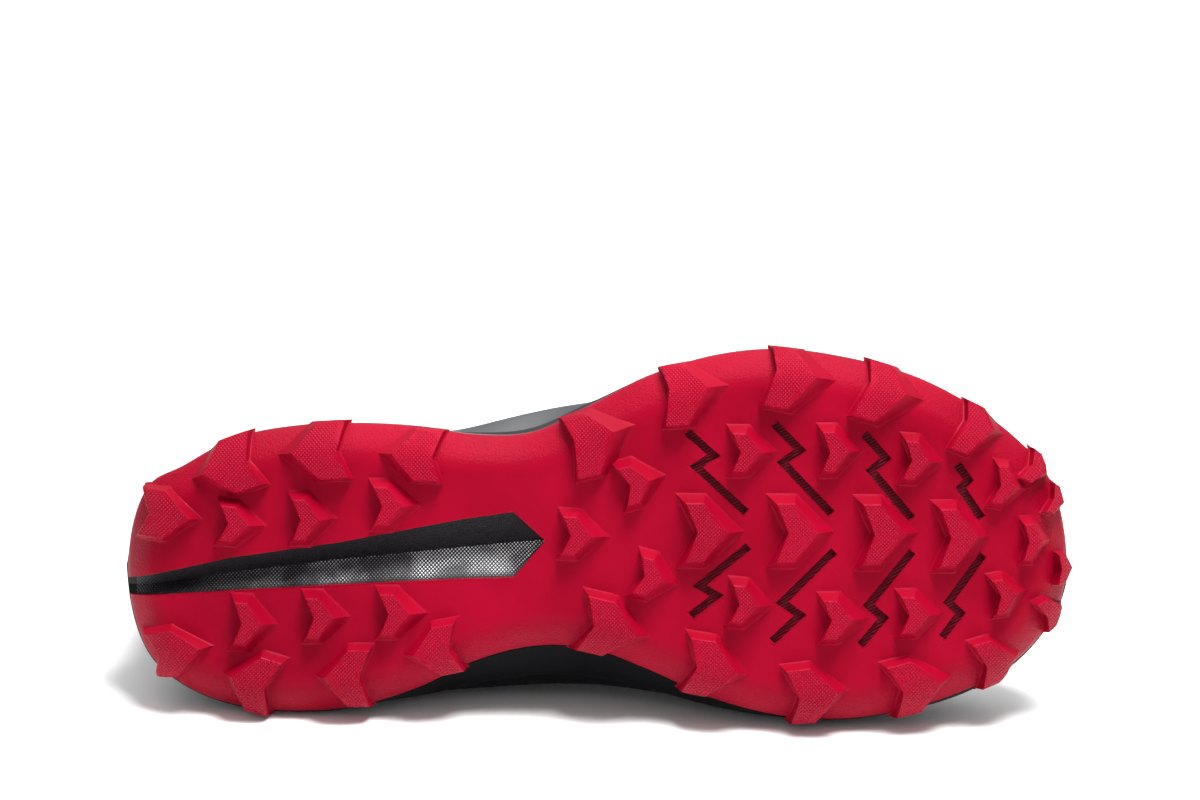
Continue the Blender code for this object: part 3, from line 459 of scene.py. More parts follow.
# %% Small helpers for wiring a finish
class Finish:
    """A material under construction: nodes are added one by one and wired by value."""

    def __init__(self, name, colour, rough, **sockets):
        """Starts from a plain colour and roughness; other sockets go by name."""
        self.material = bpy.data.materials.new(name)
        self.material.use_nodes = True
        self.tree = self.material.node_tree
        self.shader = self.tree.nodes["Principled BSDF"]
        self.shader.inputs["Base Color"].default_value = (*colour, 1)
        self.shader.inputs["Roughness"].default_value = rough
        self.material.diffuse_color = (*colour, 1)
        for socket, value in sockets.items():
            self.shader.inputs[socket.replace("_", " ")].default_value = value

    def set(self, socket, value):
        """Feeds one socket of the shader."""
        self.feed(self.shader.inputs[socket], value)

    def feed(self, socket, value):
        """Wires a node's output into a socket, or sets the socket to a constant."""
        if hasattr(value, "is_output"):
            self.tree.links.new(value, socket)
        elif value is not None:
            socket.default_value = value

    def node(self, kind, out=0, **settings):
        """One node; a setting named in_0, in_1 and so on feeds that input."""
        made = self.tree.nodes.new(kind)
        for key, value in settings.items():
            if not key.startswith("in_"):
                setattr(made, key, value)
        for key, value in settings.items():
            if key.startswith("in_"):
                place = key[3:]
                place = int(place) if place.isdigit() else place.replace("_", " ")
                self.feed(made.inputs[place], value)
        return made.outputs[out]

    def math(self, operation, a, b=None, c=None):
        """One sum, product or other operation on numbers."""
        return self.node("ShaderNodeMath", operation=operation, in_0=a, in_1=b, in_2=c)

    def spot(self):
        """Place on the object, in metres."""
        return self.node("ShaderNodeTexCoord", out=3)

    def mark(self, name):
        """A triple kept at each point."""
        return self.node("ShaderNodeAttribute", out=1, attribute_name=name)

    def amount(self, name):
        """A single number kept at each point."""
        return self.node("ShaderNodeAttribute", out=2, attribute_name=name)

    def parts(self, vector):
        """The three numbers of a triple."""
        made = self.tree.nodes.new("ShaderNodeSeparateXYZ")
        self.feed(made.inputs[0], vector)
        return made.outputs

    def noise(self, vector, scale, detail=2.0, rough=0.5):
        """Cloudy noise, scale being about the number of lumps to the metre."""
        return self.node("ShaderNodeTexNoise", in_Vector=vector, in_Scale=scale, in_Detail=detail,
                         in_Roughness=rough)

    def range(self, value, low, high, to_low, to_high):
        """Stretches a number from one range to another and holds it there."""
        return self.node("ShaderNodeMapRange", in_0=value, in_1=low, in_2=high, in_3=to_low,
                         in_4=to_high)

    def mix(self, share, one, two):
        """Colour between two colours."""
        made = self.tree.nodes.new("ShaderNodeMix")
        made.data_type = "RGBA"
        for place, value in ((0, share), (6, one), (7, two)):
            if isinstance(value, tuple) and len(value) == 3:
                value = (*value, 1)
            self.feed(made.inputs[place], value)
        return made.outputs[2]

    def bump(self, height, distance, strength=1.0, before=None):
        """Normal that follows a height of so many metres; before is a coarser one under it."""
        made = self.tree.nodes.new("ShaderNodeBump")
        made.inputs["Strength"].default_value = strength
        made.inputs["Distance"].default_value = distance
        self.feed(made.inputs["Height"], height)
        if before is not None:
            self.feed(made.inputs["Normal"], before)
        return made.outputs[0]

    def waves(self, value, pitch):
        """A ripple between 0 and 1 of one pitch along a number."""
        turned = self.math("SINE", self.math("MULTIPLY", value, math.tau / pitch))
        return self.math("MULTIPLY_ADD", turned, 0.5, 0.5)

    def diamonds(self, along, across, pitch):
        """Two slanting ripples multiplied: rows of small diamonds."""
        one = self.waves(self.math("ADD", along, across), pitch)
        two = self.waves(self.math("SUBTRACT", along, across), pitch)
        return self.math("MULTIPLY", one, two)


print("finish helper ready")

# %% [markdown]
# ## Crimson rubber
#
# The rubber is one colour all through. What tells the eye that it is moulded is
# its surface: smooth and matt between the lugs, a fine grain on the rolled edge
# and a knurl of small diamonds on each lug's face. The knurl is bump, because its
# diamonds are under a millimetre wide; their crests are also painted a lighter
# pink, as a painted highlight.

# %% Rubber finish
CRIMSON = (0.465, 0.0006, 0.023)
KNURL_PITCH = 0.00118
GRAIN_SCALE = 1900.0


def rubber_finish():
    """Grain where the edge is near, diamonds where the mark named face is one; the diamonds' crests
    are painted a lighter pink as a painted highlight.
    """
    made = Finish("crimson_rubber", CRIMSON, 0.5, Specular_IOR_Level=0.24)
    made.shader.inputs["Specular Tint"].default_value = (1.0, 0.16, 0.26, 1.0)
    plan = made.mark("plan")
    x, y, edge = made.parts(plan)
    face = made.amount("face")
    spot = made.spot()
    cloud = made.noise(spot, 28.0, 3.0)
    clouded = made.range(cloud, 0.35, 0.65, 0.0, 1.0)
    shade = made.mix(clouded, (0.212, 0.0001, 0.0104), (0.262, 0.0003, 0.0136))
    fine = made.noise(spot, GRAIN_SCALE, 1.0)
    grain = made.noise(spot, GRAIN_SCALE, 2.0)
    band = made.range(edge, 0.0095, 0.0075, 0.0, 1.0)
    knurl = made.diamonds(x, y, KNURL_PITCH)
    # painted highlight: the crests of the knurl's diamonds on the lug faces are coloured a lighter
    # pink
    knurl_painted_highlight = made.math("MULTIPLY", made.range(knurl, 0.25, 0.65, 0.0, 0.75), face)
    made.set("Base Color", made.mix(knurl_painted_highlight, shade, (0.400, 0.012, 0.038)))
    height = made.math("MULTIPLY", grain, made.math("MULTIPLY", band, 1.2))
    height = made.math("ADD", height, made.math("MULTIPLY", fine, 0.10))
    height = made.math("ADD", height, made.math("MULTIPLY", made.math("MULTIPLY", knurl, face), 1.4))
    made.set("Normal", made.bump(height, 0.00022, 1.0))
    made.set("Roughness", made.range(cloud, 0.3, 0.7, 0.44, 0.56))
    outer = made.range(y, -0.015, -0.040, 0.0, 0.12)
    made.set("Sheen Weight", made.math("MULTIPLY", band, outer))
    made.shader.inputs["Sheen Roughness"].default_value = 0.35
    made.shader.inputs["Sheen Tint"].default_value = (1.0, 0.45, 0.55, 1.0)
    return made.material


rubber = rubber_finish()
print("finish", rubber.name)

# %% [markdown]
# ## The rubber sheet
#
# On the real shoe the sheet is pressed in a mould, 3 mm thick, and its edge is
# rounded. It could be a plane with a Solidify modifier. A grid from edge to edge
# is used instead, so that the rolled edge has its own rows and the lip is round.

# %% Rubber sheet
SHEET_ROWS = 200
SHEET_COLUMNS = 84
SHEET_INSET = 0.0012


def across(ring, columns, height):
    """Grid from the inner side of a ring to its outer side, its height given by a formula."""
    half = len(ring) // 2
    here = np.arange(half + 1)
    medial, lateral = ring[here], ring[-here % len(ring)]
    even = np.linspace(0, 1, columns)
    share = 0.5 * even + 0.25 * (1 - np.cos(math.pi * even))
    grid = medial[:, None] + (lateral - medial)[:, None] * share[None, :, None]
    grid[..., 2] = height(grid[..., 0], grid[..., 1])
    return grid


def blend_ring(corners, at):
    """Ring on a rounded corner: a quadratic curve that starts at the first ring, is drawn
    towards the second and ends at the third."""
    one, two, three = corners
    return (1 - at) ** 2 * one + 2 * at * (1 - at) * two + at**2 * three


def rubber_sheet():
    """Closed sheet: outer face, a round lip in two bends and the inner face."""
    edge = plan_loop(np.linspace(0, 1, SHEET_ROWS + 1))
    inset = push(edge, -SHEET_INSET)
    outer = across(inset, SHEET_COLUMNS, tread)
    inner = across(inset, SHEET_COLUMNS, lambda x, y: tread(x, y) + RUBBER)
    low, high = inset.copy(), inset.copy()
    low[:, 2] = tread(low[:, 0], low[:, 1])
    high[:, 2] = low[:, 2] + RUBBER
    corner = edge.copy()
    corner[:, 2] = tread(edge[:, 0], edge[:, 1])
    bends = [(low, corner, corner + (0, 0, RUBBER / 2))]
    bends.append((corner + (0, 0, RUBBER / 2), corner + (0, 0, RUBBER), high))
    rings = [blend_ring(bend, at) for bend in bends for at in (0.0, 0.25, 0.5, 0.75)] + [high]
    points = np.concatenate((outer.reshape(-1, 3), inner.reshape(-1, 3), *rings))
    rows, columns = outer.shape[:2]
    faces = [quads(rows, columns), quads(rows, columns, start=rows * columns)]
    faces.append(quads(len(rings), len(edge), round_columns=True, start=2 * rows * columns))
    gap = edge_distance(points[:, 0], points[:, 1])
    plan = np.stack((points[:, 0], points[:, 1], gap), 1)
    return piece("rubber_sheet", points, np.concatenate(faces), plan=plan, face=np.zeros(len(points)))


sheet = tell(rubber_sheet())

# %% [markdown]
# ## Slots and the opening at the heel
#
# The mould leaves eight zigzag slots through the forefoot so that it bends, and a
# long opening at the heel that shows the foam. One body with all of them is cut
# from the sheet in a single Boolean step. Each slot is a line of three strokes
# given a width, with its ends and its knees kept square.

# %% Opening at the heel and slots at the ball
Cut = namedtuple("Cut", "along lateral valley medial depth")
Slot = namedtuple("Slot", "along across forward inward")
CUT = [
    Cut(-0.020, 0.042, 0.058, 0.080, 0.10),
    Cut(0.000, 0.030, 0.054, 0.076, 0.25),
    Cut(0.112, -0.038, 0.008, 0.052, 0.60),
    Cut(0.227, -0.081, -0.027, 0.034, 0.85),
    Cut(0.356, -0.145, -0.060, 0.017, 1.00),
    Cut(0.410, -0.165, -0.074, 0.012, 1.00),
    Cut(0.442, -0.091, -0.087, -0.083, 0.15),
]
SLOTS = [
    Slot(0.592, -0.382, 0.062, 0.215),
    Slot(0.683, -0.405, 0.061, 0.241),
    Slot(0.778, -0.378, 0.051, 0.229),
    Slot(0.877, -0.293, 0.027, 0.146),
    Slot(0.597, 0.112, 0.060, -0.188),
    Slot(0.683, 0.180, 0.064, -0.243),
    Slot(0.776, 0.192, 0.054, -0.252),
    Slot(0.863, 0.174, 0.043, -0.222),
]
ZIGZAG = [(0.0, 0.0), (0.45, 0.29), (0.15, 0.43), (1.0, 1.0)]
SLOT_EASE = 1.28
FLOOR_EASE = 1.9
FLOOR_DEPTH = 0.0014
print("slots", len(SLOTS))

# %% Zigzag slots
def slot_lines(row, width, fine=1):
    """Both sides of a slot: its zigzag line moved sideways by half a width, knees mitred."""
    line = np.array(ZIGZAG) * (row.forward * SOLE_LENGTH, row.inward * BALL_WIDTH)
    line += (row.along * SOLE_LENGTH, row.across * BALL_WIDTH)
    step = np.diff(line, axis=0)
    step /= np.linalg.norm(step, axis=1, keepdims=True)
    side = np.stack((-step[:, 1], step[:, 0]), 1)
    corner = np.concatenate((side[:1], side[:-1] + side[1:], side[-1:]))
    reach = np.ones(len(corner))
    reach[1:-1] = 2 / (corner[1:-1] ** 2).sum(1)
    off = corner * reach[:, None] * width / 2
    at = np.linspace(0, len(line) - 1, (len(line) - 1) * fine + 1)
    left = np.stack([np.interp(at, range(len(line)), (line + off)[:, k]) for k in range(2)], 1)
    right = np.stack([np.interp(at, range(len(line)), (line - off)[:, k]) for k in range(2)], 1)
    return left, right


def upright(rings):
    """Points and faces of closed upright bodies, each drawn as a flat ring."""
    points = []
    faces = []
    for ring in rings:
        start = len(points)
        count = len(ring)
        points += [(x, y, z) for z in (-0.02, 0.06) for x, y in ring]
        low = list(range(start, start + count))
        high = list(range(start + count, start + 2 * count))
        faces += [low, high[::-1]]
        faces += [(low[k - 1], low[k], high[k], high[k - 1]) for k in range(count)]
    return points, faces


def upright_body(name, rings):
    """Closed body with upright walls over flat rings, tall enough to cut through the sole."""
    points, faces = upright(rings)
    mesh = bpy.data.meshes.new(name)
    mesh.from_pydata(lay(points).tolist(), [], faces)
    for mark, kind in (("plan", "FLOAT_VECTOR"), ("face", "FLOAT")):
        mesh.attributes.new(mark, kind, "POINT")
    places = np.array(points) * (1, 1, 0) + (0, 0, 0.02)
    mesh.attributes["plan"].data.foreach_set("vector", places.ravel())
    shape = bmesh.new()
    shape.from_mesh(mesh)
    bmesh.ops.recalc_face_normals(shape, faces=shape.faces)
    shape.to_mesh(mesh)
    shape.free()
    obj = bpy.data.objects.new(name, mesh)
    bpy.context.scene.collection.objects.link(obj)
    return obj


opening = [(row.along * SOLE_LENGTH, row.lateral * BALL_WIDTH) for row in CUT]
opening += [(row.along * SOLE_LENGTH, row.medial * BALL_WIDTH) for row in CUT[::-1]]
holes = [opening]
for row in SLOTS:
    left, right = slot_lines(row, SLOT_WIDTH * SLOT_EASE)
    holes.append(np.concatenate((left, right[::-1])).tolist())
cut(sheet, upright_body("sheet_holes", holes), crease=32)
sheet.data.materials.clear()
sheet.data.materials.append(rubber)
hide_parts("outsole")
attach(sheet, "root")
tell(sheet)

# %% [markdown]
# ## Floors of the slots
#
# The slots don't go right through. A thin web closes them, with a ribbed woven
# print left by the cloth in the mould. It is coloured a dark maroon, far darker
# than the face and darker still in the valleys of the ribs, as painted shade down
# in the narrow slot. A ribbon a little wider than the slot lies inside the sheet,
# so its edges never show.

# %% Slot floors
def slot_floor_finish():
    """Dark maroon as painted shade down in the slot, with a slanting rib across each ribbon, darker in
    its valleys as painted shade.
    """
    made = Finish("maroon_web", (0.110, 0.001, 0.009), 0.5, Specular_IOR_Level=0.1)
    x, y, _ = made.parts(made.mark("plan"))
    ribs = made.waves(made.math("ADD", made.math("MULTIPLY", x, 0.5), y), 0.0011)
    weave = made.diamonds(x, y, 0.0008)
    height = made.math("ADD", ribs, made.math("MULTIPLY", weave, 0.6))
    made.set("Normal", made.bump(height, 0.0002))
    # painted shade: the web is dark maroon, darker still in the valleys of its ribs
    made.set("Base Color", made.mix(ribs, (0.038, 0.0002, 0.003), (0.120, 0.0005, 0.009)))
    return made.material


def slot_floors():
    """All eight ribbons, 1.4 mm under the rubber's face."""
    points = []
    faces = []
    for row in SLOTS:
        left, right = slot_lines(row, SLOT_WIDTH * FLOOR_EASE, fine=10)
        share = np.linspace(0, 1, 5)[None, :, None]
        grid = left[:, None] + (right - left)[:, None] * share
        high = tread(grid[..., 0], grid[..., 1]) + FLOOR_DEPTH
        faces.append(quads(*high.shape, start=sum(map(len, points))))
        points.append(np.concatenate((grid, high[..., None]), 2).reshape(-1, 3))
    points = np.concatenate(points)
    plan = points * (1, 1, 0)
    return piece("slot_floors", points, np.concatenate(faces), outward=False, plan=plan)


floors = slot_floors()
floors.data.materials.append(slot_floor_finish())
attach(floors, "root")
tell(floors)

# %% [markdown]
# ## Lugs
#
# A lug bites into mud with its notched rear face, so that side is steep and the
# two arms run forward to a spur. All forty-four are made alike: level by level up
# from a flared root the chevron gets shorter, narrower and more deeply notched.
# One formula makes a level, and a row of the table places and stretches a lug.

# %% Where the lugs stand
Lug = namedtuple("Lug", "along across turn length span")

# Lugs along both edges of the heel: middle, turn in degrees, length and span in lug sizes
HEEL_EDGE_LUGS = [
    Lug(0.048, -0.149, -5, 1.05, 0.85),
    Lug(0.326, 0.208, 190, 0.95, 0.90),
    Lug(0.233, 0.280, 179, 0.92, 1.04),
    Lug(0.134, 0.294, 163, 0.94, 1.04),
    Lug(0.058, 0.216, 10, 1.08, 0.85),
]

# Lugs along the outer edge of the heel, which point to the back
BACK_LUGS = [
    Lug(0.108, -0.278, 199, 1.15, 0.92),
    Lug(0.201, -0.322, 184, 1.14, 0.94),
    Lug(0.303, -0.315, 176, 1.04, 0.83),
]

# Lugs on both sides of the heel's opening
HEEL_LUGS = [
    Lug(0.124, -0.130, -5, 0.80, 0.75),
    Lug(0.199, -0.145, 0, 0.77, 0.86),
    Lug(0.285, -0.182, 0, 0.80, 0.82),
    Lug(0.137, 0.137, -3, 0.75, 0.90),
    Lug(0.213, 0.119, 0, 0.77, 0.85),
    Lug(0.292, 0.108, 0, 0.81, 0.85),
]

# Lugs along the outer edge of the forefoot, with the spur near the rim
OUTER_LUGS = [
    Lug(0.502, -0.354, 15, 1.12, 1.05),
    Lug(0.599, -0.480, 4, 1.07, 1.00),
    Lug(0.709, -0.516, -10, 1.11, 0.99),
    Lug(0.804, -0.475, -19, 1.07, 0.98),
    Lug(0.900, -0.376, -22, 0.81, 0.85),
]

# Lugs along the inner edge of the forefoot and round the toe
EDGE_LUGS = [
    Lug(0.962, -0.275, -30, 0.46, 0.58),
    Lug(0.984, -0.188, -20, 0.34, 0.50),
    Lug(0.993, -0.004, 0, 0.32, 0.55),
    Lug(0.980, 0.112, 25, 0.46, 0.60),
    Lug(0.922, 0.240, 15, 0.80, 0.88),
    Lug(0.838, 0.301, 13, 1.07, 0.99),
    Lug(0.729, 0.320, 7, 1.03, 1.02),
    Lug(0.622, 0.252, -9, 1.07, 1.03),
    Lug(0.515, 0.146, -13, 1.19, 1.02),
]

# Lugs inside the forefoot
INNER_LUGS = [
    Lug(0.483, -0.104, -3, 0.82, 0.81),
    Lug(0.544, -0.249, 15, 0.78, 0.82),
    Lug(0.559, 0.010, -15, 0.75, 0.80),
    Lug(0.660, -0.331, 0, 0.80, 0.82),
    Lug(0.752, -0.333, 0, 0.73, 0.85),
    Lug(0.838, -0.306, -5, 0.73, 0.81),
    Lug(0.931, -0.234, -10, 0.62, 0.78),
    Lug(0.961, -0.084, 0, 0.53, 0.77),
    Lug(0.659, 0.079, -5, 0.75, 0.80),
    Lug(0.757, 0.118, 0, 0.83, 0.82),
    Lug(0.838, 0.108, 0, 0.78, 0.78),
    Lug(0.933, 0.058, 8, 0.64, 0.72),
]

# Large lugs down the middle of the forefoot
MIDDLE_LUGS = [
    Lug(0.616, -0.116, 0, 1.06, 1.16),
    Lug(0.711, -0.116, 0, 1.06, 1.16),
    Lug(0.801, -0.111, 0, 1.03, 1.19),
    Lug(0.881, -0.099, 0, 0.96, 1.14),
]
LUG_TABLES = (HEEL_EDGE_LUGS, BACK_LUGS, HEEL_LUGS, OUTER_LUGS, EDGE_LUGS, INNER_LUGS, MIDDLE_LUGS)
print("lugs", sum(len(rows) for rows in LUG_TABLES))

# %% Levels of a lug
Shape = namedtuple("Shape", "length span arm notch offset spur")
ROOT = Shape(1.00, 1.00, 0.43, 0.27, 0.000, 0.0)
SMALL_TOP = Shape(0.56, 0.73, 0.46, 0.27, -0.110, 0.0)
MIDDLE_TOP = Shape(0.62, 0.79, 0.43, 0.27, -0.045, 0.0)
EDGE_TOP = Shape(0.74, 0.84, 0.49, 0.20, -0.040, 0.0)
OUTER_ROOT = Shape(1.00, 1.00, 0.47, 0.13, 0.000, -0.25)
OUTER_TOP = Shape(0.66, 0.87, 0.50, 0.14, -0.120, -0.25)
EDGE_ROOT = Shape(1.00, 1.00, 0.45, 0.22, 0.000, 0.0)
BACK_ROOT = Shape(1.00, 1.00, 0.50, 0.16, 0.000, 0.0)
BACK_TOP = Shape(0.74, 0.87, 0.52, 0.16, -0.070, 0.0)
LIFTS = [-0.10, 0.0, 0.06, 0.25, 0.50, 0.75, 0.94, 1.00]
WIDE_STEPS = 16
LONG_STEPS = 4


def chevron(row, root, top, lift):
    """Grid of one level of one lug in plan. Across the span runs w from -1 to 1; the rear
    edge is notched by (1 - s) and the front edge falls back by s from the spur, where s is
    0 at the spur and grows evenly to 1 at both ends; it is |w| for a spur in the middle. Going
    up, each size turns evenly from the root's to the top's; the notch is scooped between."""
    share = np.clip(lift, 0, 1)
    length, span, arm, notch, offset, spur = [a + (b - a) * share for a, b in zip(root, top)]
    notch = notch + 0.05 * math.sin(math.pi * share)
    grow = {-0.10: 0.0007, 0.0: 0.0004, 1.00: -0.00025}.get(lift, 0.0)
    w = np.linspace(-1, 1, WIDE_STEPS + 1)[:, None]
    along = np.linspace(0, 1, LONG_STEPS + 1)[None, :]
    away = np.maximum((spur - w) / (1 + spur), (w - spur) / (1 - spur))
    front = 0.5 - (1 - arm) * away
    rear = -0.5 + notch * (1 - away)
    a = ((rear + (front - rear) * along) * length + offset) * row.length * LUG_SIZE
    b = (w / 2) * row.span * LUG_SIZE * span + 0 * along
    a = a + grow * np.sign(2 * along - 1)
    b = b + grow * np.sign(w) * (np.abs(w) > 0.9)
    turn = math.radians(-row.turn)
    x = row.along * SOLE_LENGTH + a * math.cos(turn) - b * math.sin(turn)
    y = row.across * BALL_WIDTH + a * math.sin(turn) + b * math.cos(turn)
    return x, y


def rim_of(grid):
    """Points round the edge of a grid, in order."""
    return np.concatenate((grid[:-1, 0], grid[-1, :-1], grid[:0:-1, -1], grid[0, :0:-1]))


def lugs(name, rows, root, top):
    """Many lugs in one mesh: rings of points up each side and a knurled face on top. They
    rise between straight out and the rubber's own outward direction, as a mould lets go."""
    points, marks, faces, start = [], [], [], 0
    for row in rows:
        for lift in LIFTS:
            x, y = chevron(row, root, top, lift)
            x, y = rim_of(x), rim_of(y)
            points.append(np.stack((x, y, np.full(len(x), lift)), 1))
            marks.append(np.zeros(len(x)))
        ring = len(x)
        faces.append(quads(len(LIFTS), ring, round_columns=True, start=start))
        start += ring * len(LIFTS)
        x, y = chevron(row, root, top, 1.0)
        points.append(np.stack((x.ravel(), y.ravel(), np.full(x.size, 1.0)), 1))
        marks.append(np.ones(x.size))
        faces.append(quads(*x.shape, start=start))
        start += x.size
    spots = np.concatenate(points)
    x, y, lift = spots.T
    over = np.clip(-edge_distance(x, y), 0, None)
    out = tread_normal(x, y)[:, :2]
    x, y = x - 0.6 * over * out[:, 0], y - 0.6 * over * out[:, 1]
    ground = np.stack((x, y, tread(x, y)), 1)
    way = tread_normal(x, y) * (1, 1, 0) * 0.3 - (0, 0, 1)
    way /= np.linalg.norm(way, axis=1, keepdims=True)
    shape = ground + way * (lift * LUG_HEIGHT)[:, None]
    gap = np.clip(edge_distance(x, y), 0.0, None) + 0.02 * (lift > 0)
    plan = np.stack((x, y, gap), 1)
    return piece(name, shape, np.concatenate(faces), crease=26, plan=plan, face=np.concatenate(marks))


for name, rows, root, top in (
    ("heel_edge_lugs", HEEL_EDGE_LUGS, EDGE_ROOT, EDGE_TOP),
    ("back_edge_lugs", BACK_LUGS, BACK_ROOT, BACK_TOP),
    ("outer_edge_lugs", OUTER_LUGS, OUTER_ROOT, OUTER_TOP),
    ("forefoot_edge_lugs", EDGE_LUGS, EDGE_ROOT, EDGE_TOP),
    ("heel_lugs", HEEL_LUGS, ROOT, SMALL_TOP),
    ("forefoot_lugs", INNER_LUGS, ROOT, SMALL_TOP),
    ("middle_lugs", MIDDLE_LUGS, ROOT, MIDDLE_TOP),
):
    made = lugs(name, rows, root, top)
    made.data.materials.append(rubber)
    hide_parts("outsole")
    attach(made, "root")
    tell(made)

# %% [markdown]
# ## Midsole
#
# The midsole is one block of foam from a closed mould, so its skin is smooth and
# a little shiny. Its side swells, has one step and ends in a rim that holds the
# upper. Rings that go up the side give the shape, and a bottom and a bed close it.

# %% Foam finish
def foam_finish():
    """Near black with a satin skin, painted lighter grey towards the outer side, which lies
    uppermost under the light, as painted light; with a faint unevenness and the fine pits of moulded
    foam."""
    made = Finish("black_foam", (0.009, 0.009, 0.011), 0.42, Specular_IOR_Level=0.12)
    spot = made.spot()
    cloud = made.noise(spot, 22.0, 3.0)
    pits = made.noise(spot, 1500.0, 2.0)
    soft = made.noise(spot, 60.0, 2.0)
    _, y, _ = made.parts(made.mark("plan"))
    # painted light: the outer side, uppermost as the shoe lies, is coloured lighter grey; its specular
    # level rises there too
    grey = made.range(y, -0.020, -0.040, 0.0, 1.0)
    dark = made.mix(cloud, (0.0025, 0.0025, 0.003), (0.0045, 0.0045, 0.0055))
    made.set("Base Color", made.mix(grey, dark, (0.050, 0.053, 0.057)))
    made.set("Specular IOR Level", made.range(y, -0.020, -0.040, 0.04, 0.75))
    made.set("Roughness", made.range(cloud, 0.3, 0.7, 0.34, 0.44))
    made.set("Normal", made.bump(pits, 0.00010, 0.7, made.bump(soft, 0.0006, 0.5)))
    return made.material


def mesh_finish():
    """Black cloth print in the groove: rows of diamonds whose tips are painted near white as
    painted glints on the slope that the mark named face sets to one, in patches and more towards the
    middle of the shoe."""
    made = Finish("groove_print_painted_glints", (0.006, 0.006, 0.008), 0.45, Specular_IOR_Level=0.25)
    x, y, _ = made.parts(made.mark("plan"))
    lit = made.amount("face")
    cells = made.diamonds(x, y, 0.00115)
    tips = made.range(cells, 0.26, 0.48, 0.0, 1.0)
    cloud = made.noise(made.spot(), 75.0, 2.0)
    patch = made.range(cloud, 0.36, 0.56, 0.25, 1.0)
    ahead = made.range(x, 0.020, 0.085, 0.0, 1.0)
    # painted glints: diamond tips on the marked slope are coloured near white, in patches
    sheen = made.math("MULTIPLY", made.math("MULTIPLY", patch, lit), ahead)
    bright = made.math("MULTIPLY", tips, sheen)
    made.set("Base Color", made.mix(bright, (0.005, 0.005, 0.007), (0.93, 0.95, 0.98)))
    made.set("Normal", made.bump(cells, 0.0002))
    made.set("Roughness", made.range(lit, 0.0, 1.0, 0.5, 0.35))
    return made.material


foam, groove_print_painted_glints = foam_finish(), mesh_finish()
print("finishes", foam.name, groove_print_painted_glints.name)

# %% Rings of the last
STATION_ROWS = 160
EVEN = np.linspace(0, 1, STATION_ROWS + 1)


def last_ring(rows, height_at=None):
    """Closed ring of one level of the last: smooth curves through the rows of its table."""
    knots = np.linspace(0, 1, len(rows))
    x = HEEL_SET + LAST_LENGTH * curve(knots, [row.along for row in rows], EVEN, "even")
    centre = BALL_WIDTH * curve(knots, [row.centre for row in rows], EVEN, "even")
    medial = BALL_WIDTH * curve(knots, [row.medial for row in rows], EVEN, "odd")
    lateral = BALL_WIDTH * curve(knots, [row.lateral for row in rows], EVEN, "odd")
    if height_at is None:
        height_at = lambda _: HEEL_STACK + COLLAR_HEIGHT * curve(
            knots, [row.height for row in rows], EVEN, "even")
    z = height_at(x)
    return loop(np.stack((x, centre + medial, z), 1), np.stack((x, centre - lateral, z), 1))


print("feather line", (np.ptp(last_ring(FEATHER, bed), axis=0) * 1000).round(1), "mm")

# %% Midsole and its groove
BASE_LIFT = RUBBER + GAP


def bulge_share(ring):
    """How far the foam swells: fully on the inner side, nearly flat on the outer side but
    for the arch, where it stands out past the rubber."""
    along = ring[:, 0] / SOLE_LENGTH
    arch = 2.6 * np.exp(-(((along - 0.435) / 0.085) ** 2))
    outer = np.clip(-ring[:, 1] / 0.01, 0, 1)
    return 1 + (arch - 0.75 - 1) * outer


def midsole_rings():
    """Rings from the rubber up the side, over the rim and down to the bed."""
    base = plan_loop(EVEN)
    base[:, 2] = tread(base[:, 0], base[:, 1]) + BASE_LIFT
    feather = last_ring(FEATHER, bed)
    rim_ring = push(feather, RIM_WALL)
    rim_ring[:, 2] = bed(feather[:, 0]) + rim(feather[:, 0])
    at = np.linspace(0, len(SIDE) - 1, 41)
    side = curve(range(len(SIDE)), [tuple(row) for row in SIDE], at, "free")
    rings = [base]
    swell = BULGE * bulge_share(base)[:, None]
    for blend, out, rise in side[:-2]:
        ring = base + (rim_ring - base) * blend
        ring = ring + (push(ring, 1.0) - ring) * out * swell
        ring[:, 2] = base[:, 2] + (rim_ring[:, 2] - base[:, 2]) * rise
        rings.append(ring)
    inner = push(feather, GAP)
    high = inner * (1, 1, 0) + rim_ring * (0, 0, 1)
    edge = push(rim_ring, -0.0012)
    rings += [blend_ring((rings[-1], rim_ring, edge), t) for t in (0.25, 0.5, 0.75, 1.0)]
    return rings + [high, inner]


def closed_stack(name, rings, low, high, columns, **options):
    """Closed body: a bottom grid, rings up its side and a top grid; low and high are the
    heights of bottom and top."""
    bottom = across(rings[0], columns, low)
    top = across(rings[-1], columns, high)
    points = np.concatenate((bottom.reshape(-1, 3), top.reshape(-1, 3), *rings))
    rows, wide = bottom.shape[:2]
    faces = [quads(rows, wide), quads(rows, wide, start=rows * wide)]
    faces.append(quads(len(rings), len(rings[0]), round_columns=True, start=2 * rows * wide))
    marks = {"plan": points * (1, 1, 0), "face": np.zeros(len(points))}
    return piece(name, points, np.concatenate(faces), **marks, **options)


def groove_rows(deeper):
    """Rows of the groove: from the lateral edge down a slope to the valley line and up to
    the medial edge, following the cut's table; deeper lowers the whole of it."""
    at = np.linspace(0, len(CUT) - 1, 73)
    columns = np.array([tuple(row) for row in CUT]).T
    along, lateral, valley, medial, depth = [np.interp(at, range(len(CUT)), c) for c in columns]
    share = np.linspace(0, 1, 6)
    y = np.concatenate((
        lateral[:, None] + (valley - lateral)[:, None] * share,
        valley[:, None] + (medial - valley)[:, None] * share[1:],
    ), 1) * BALL_WIDTH
    down = np.concatenate((share, share[::-1][1:]))
    x = np.broadcast_to(along[:, None] * SOLE_LENGTH, y.shape)
    z = tread(x, y) + BASE_LIFT - 0.0003 + depth[:, None] * down * GROOVE_DEPTH
    return np.stack((x, y, z + deeper), 2)


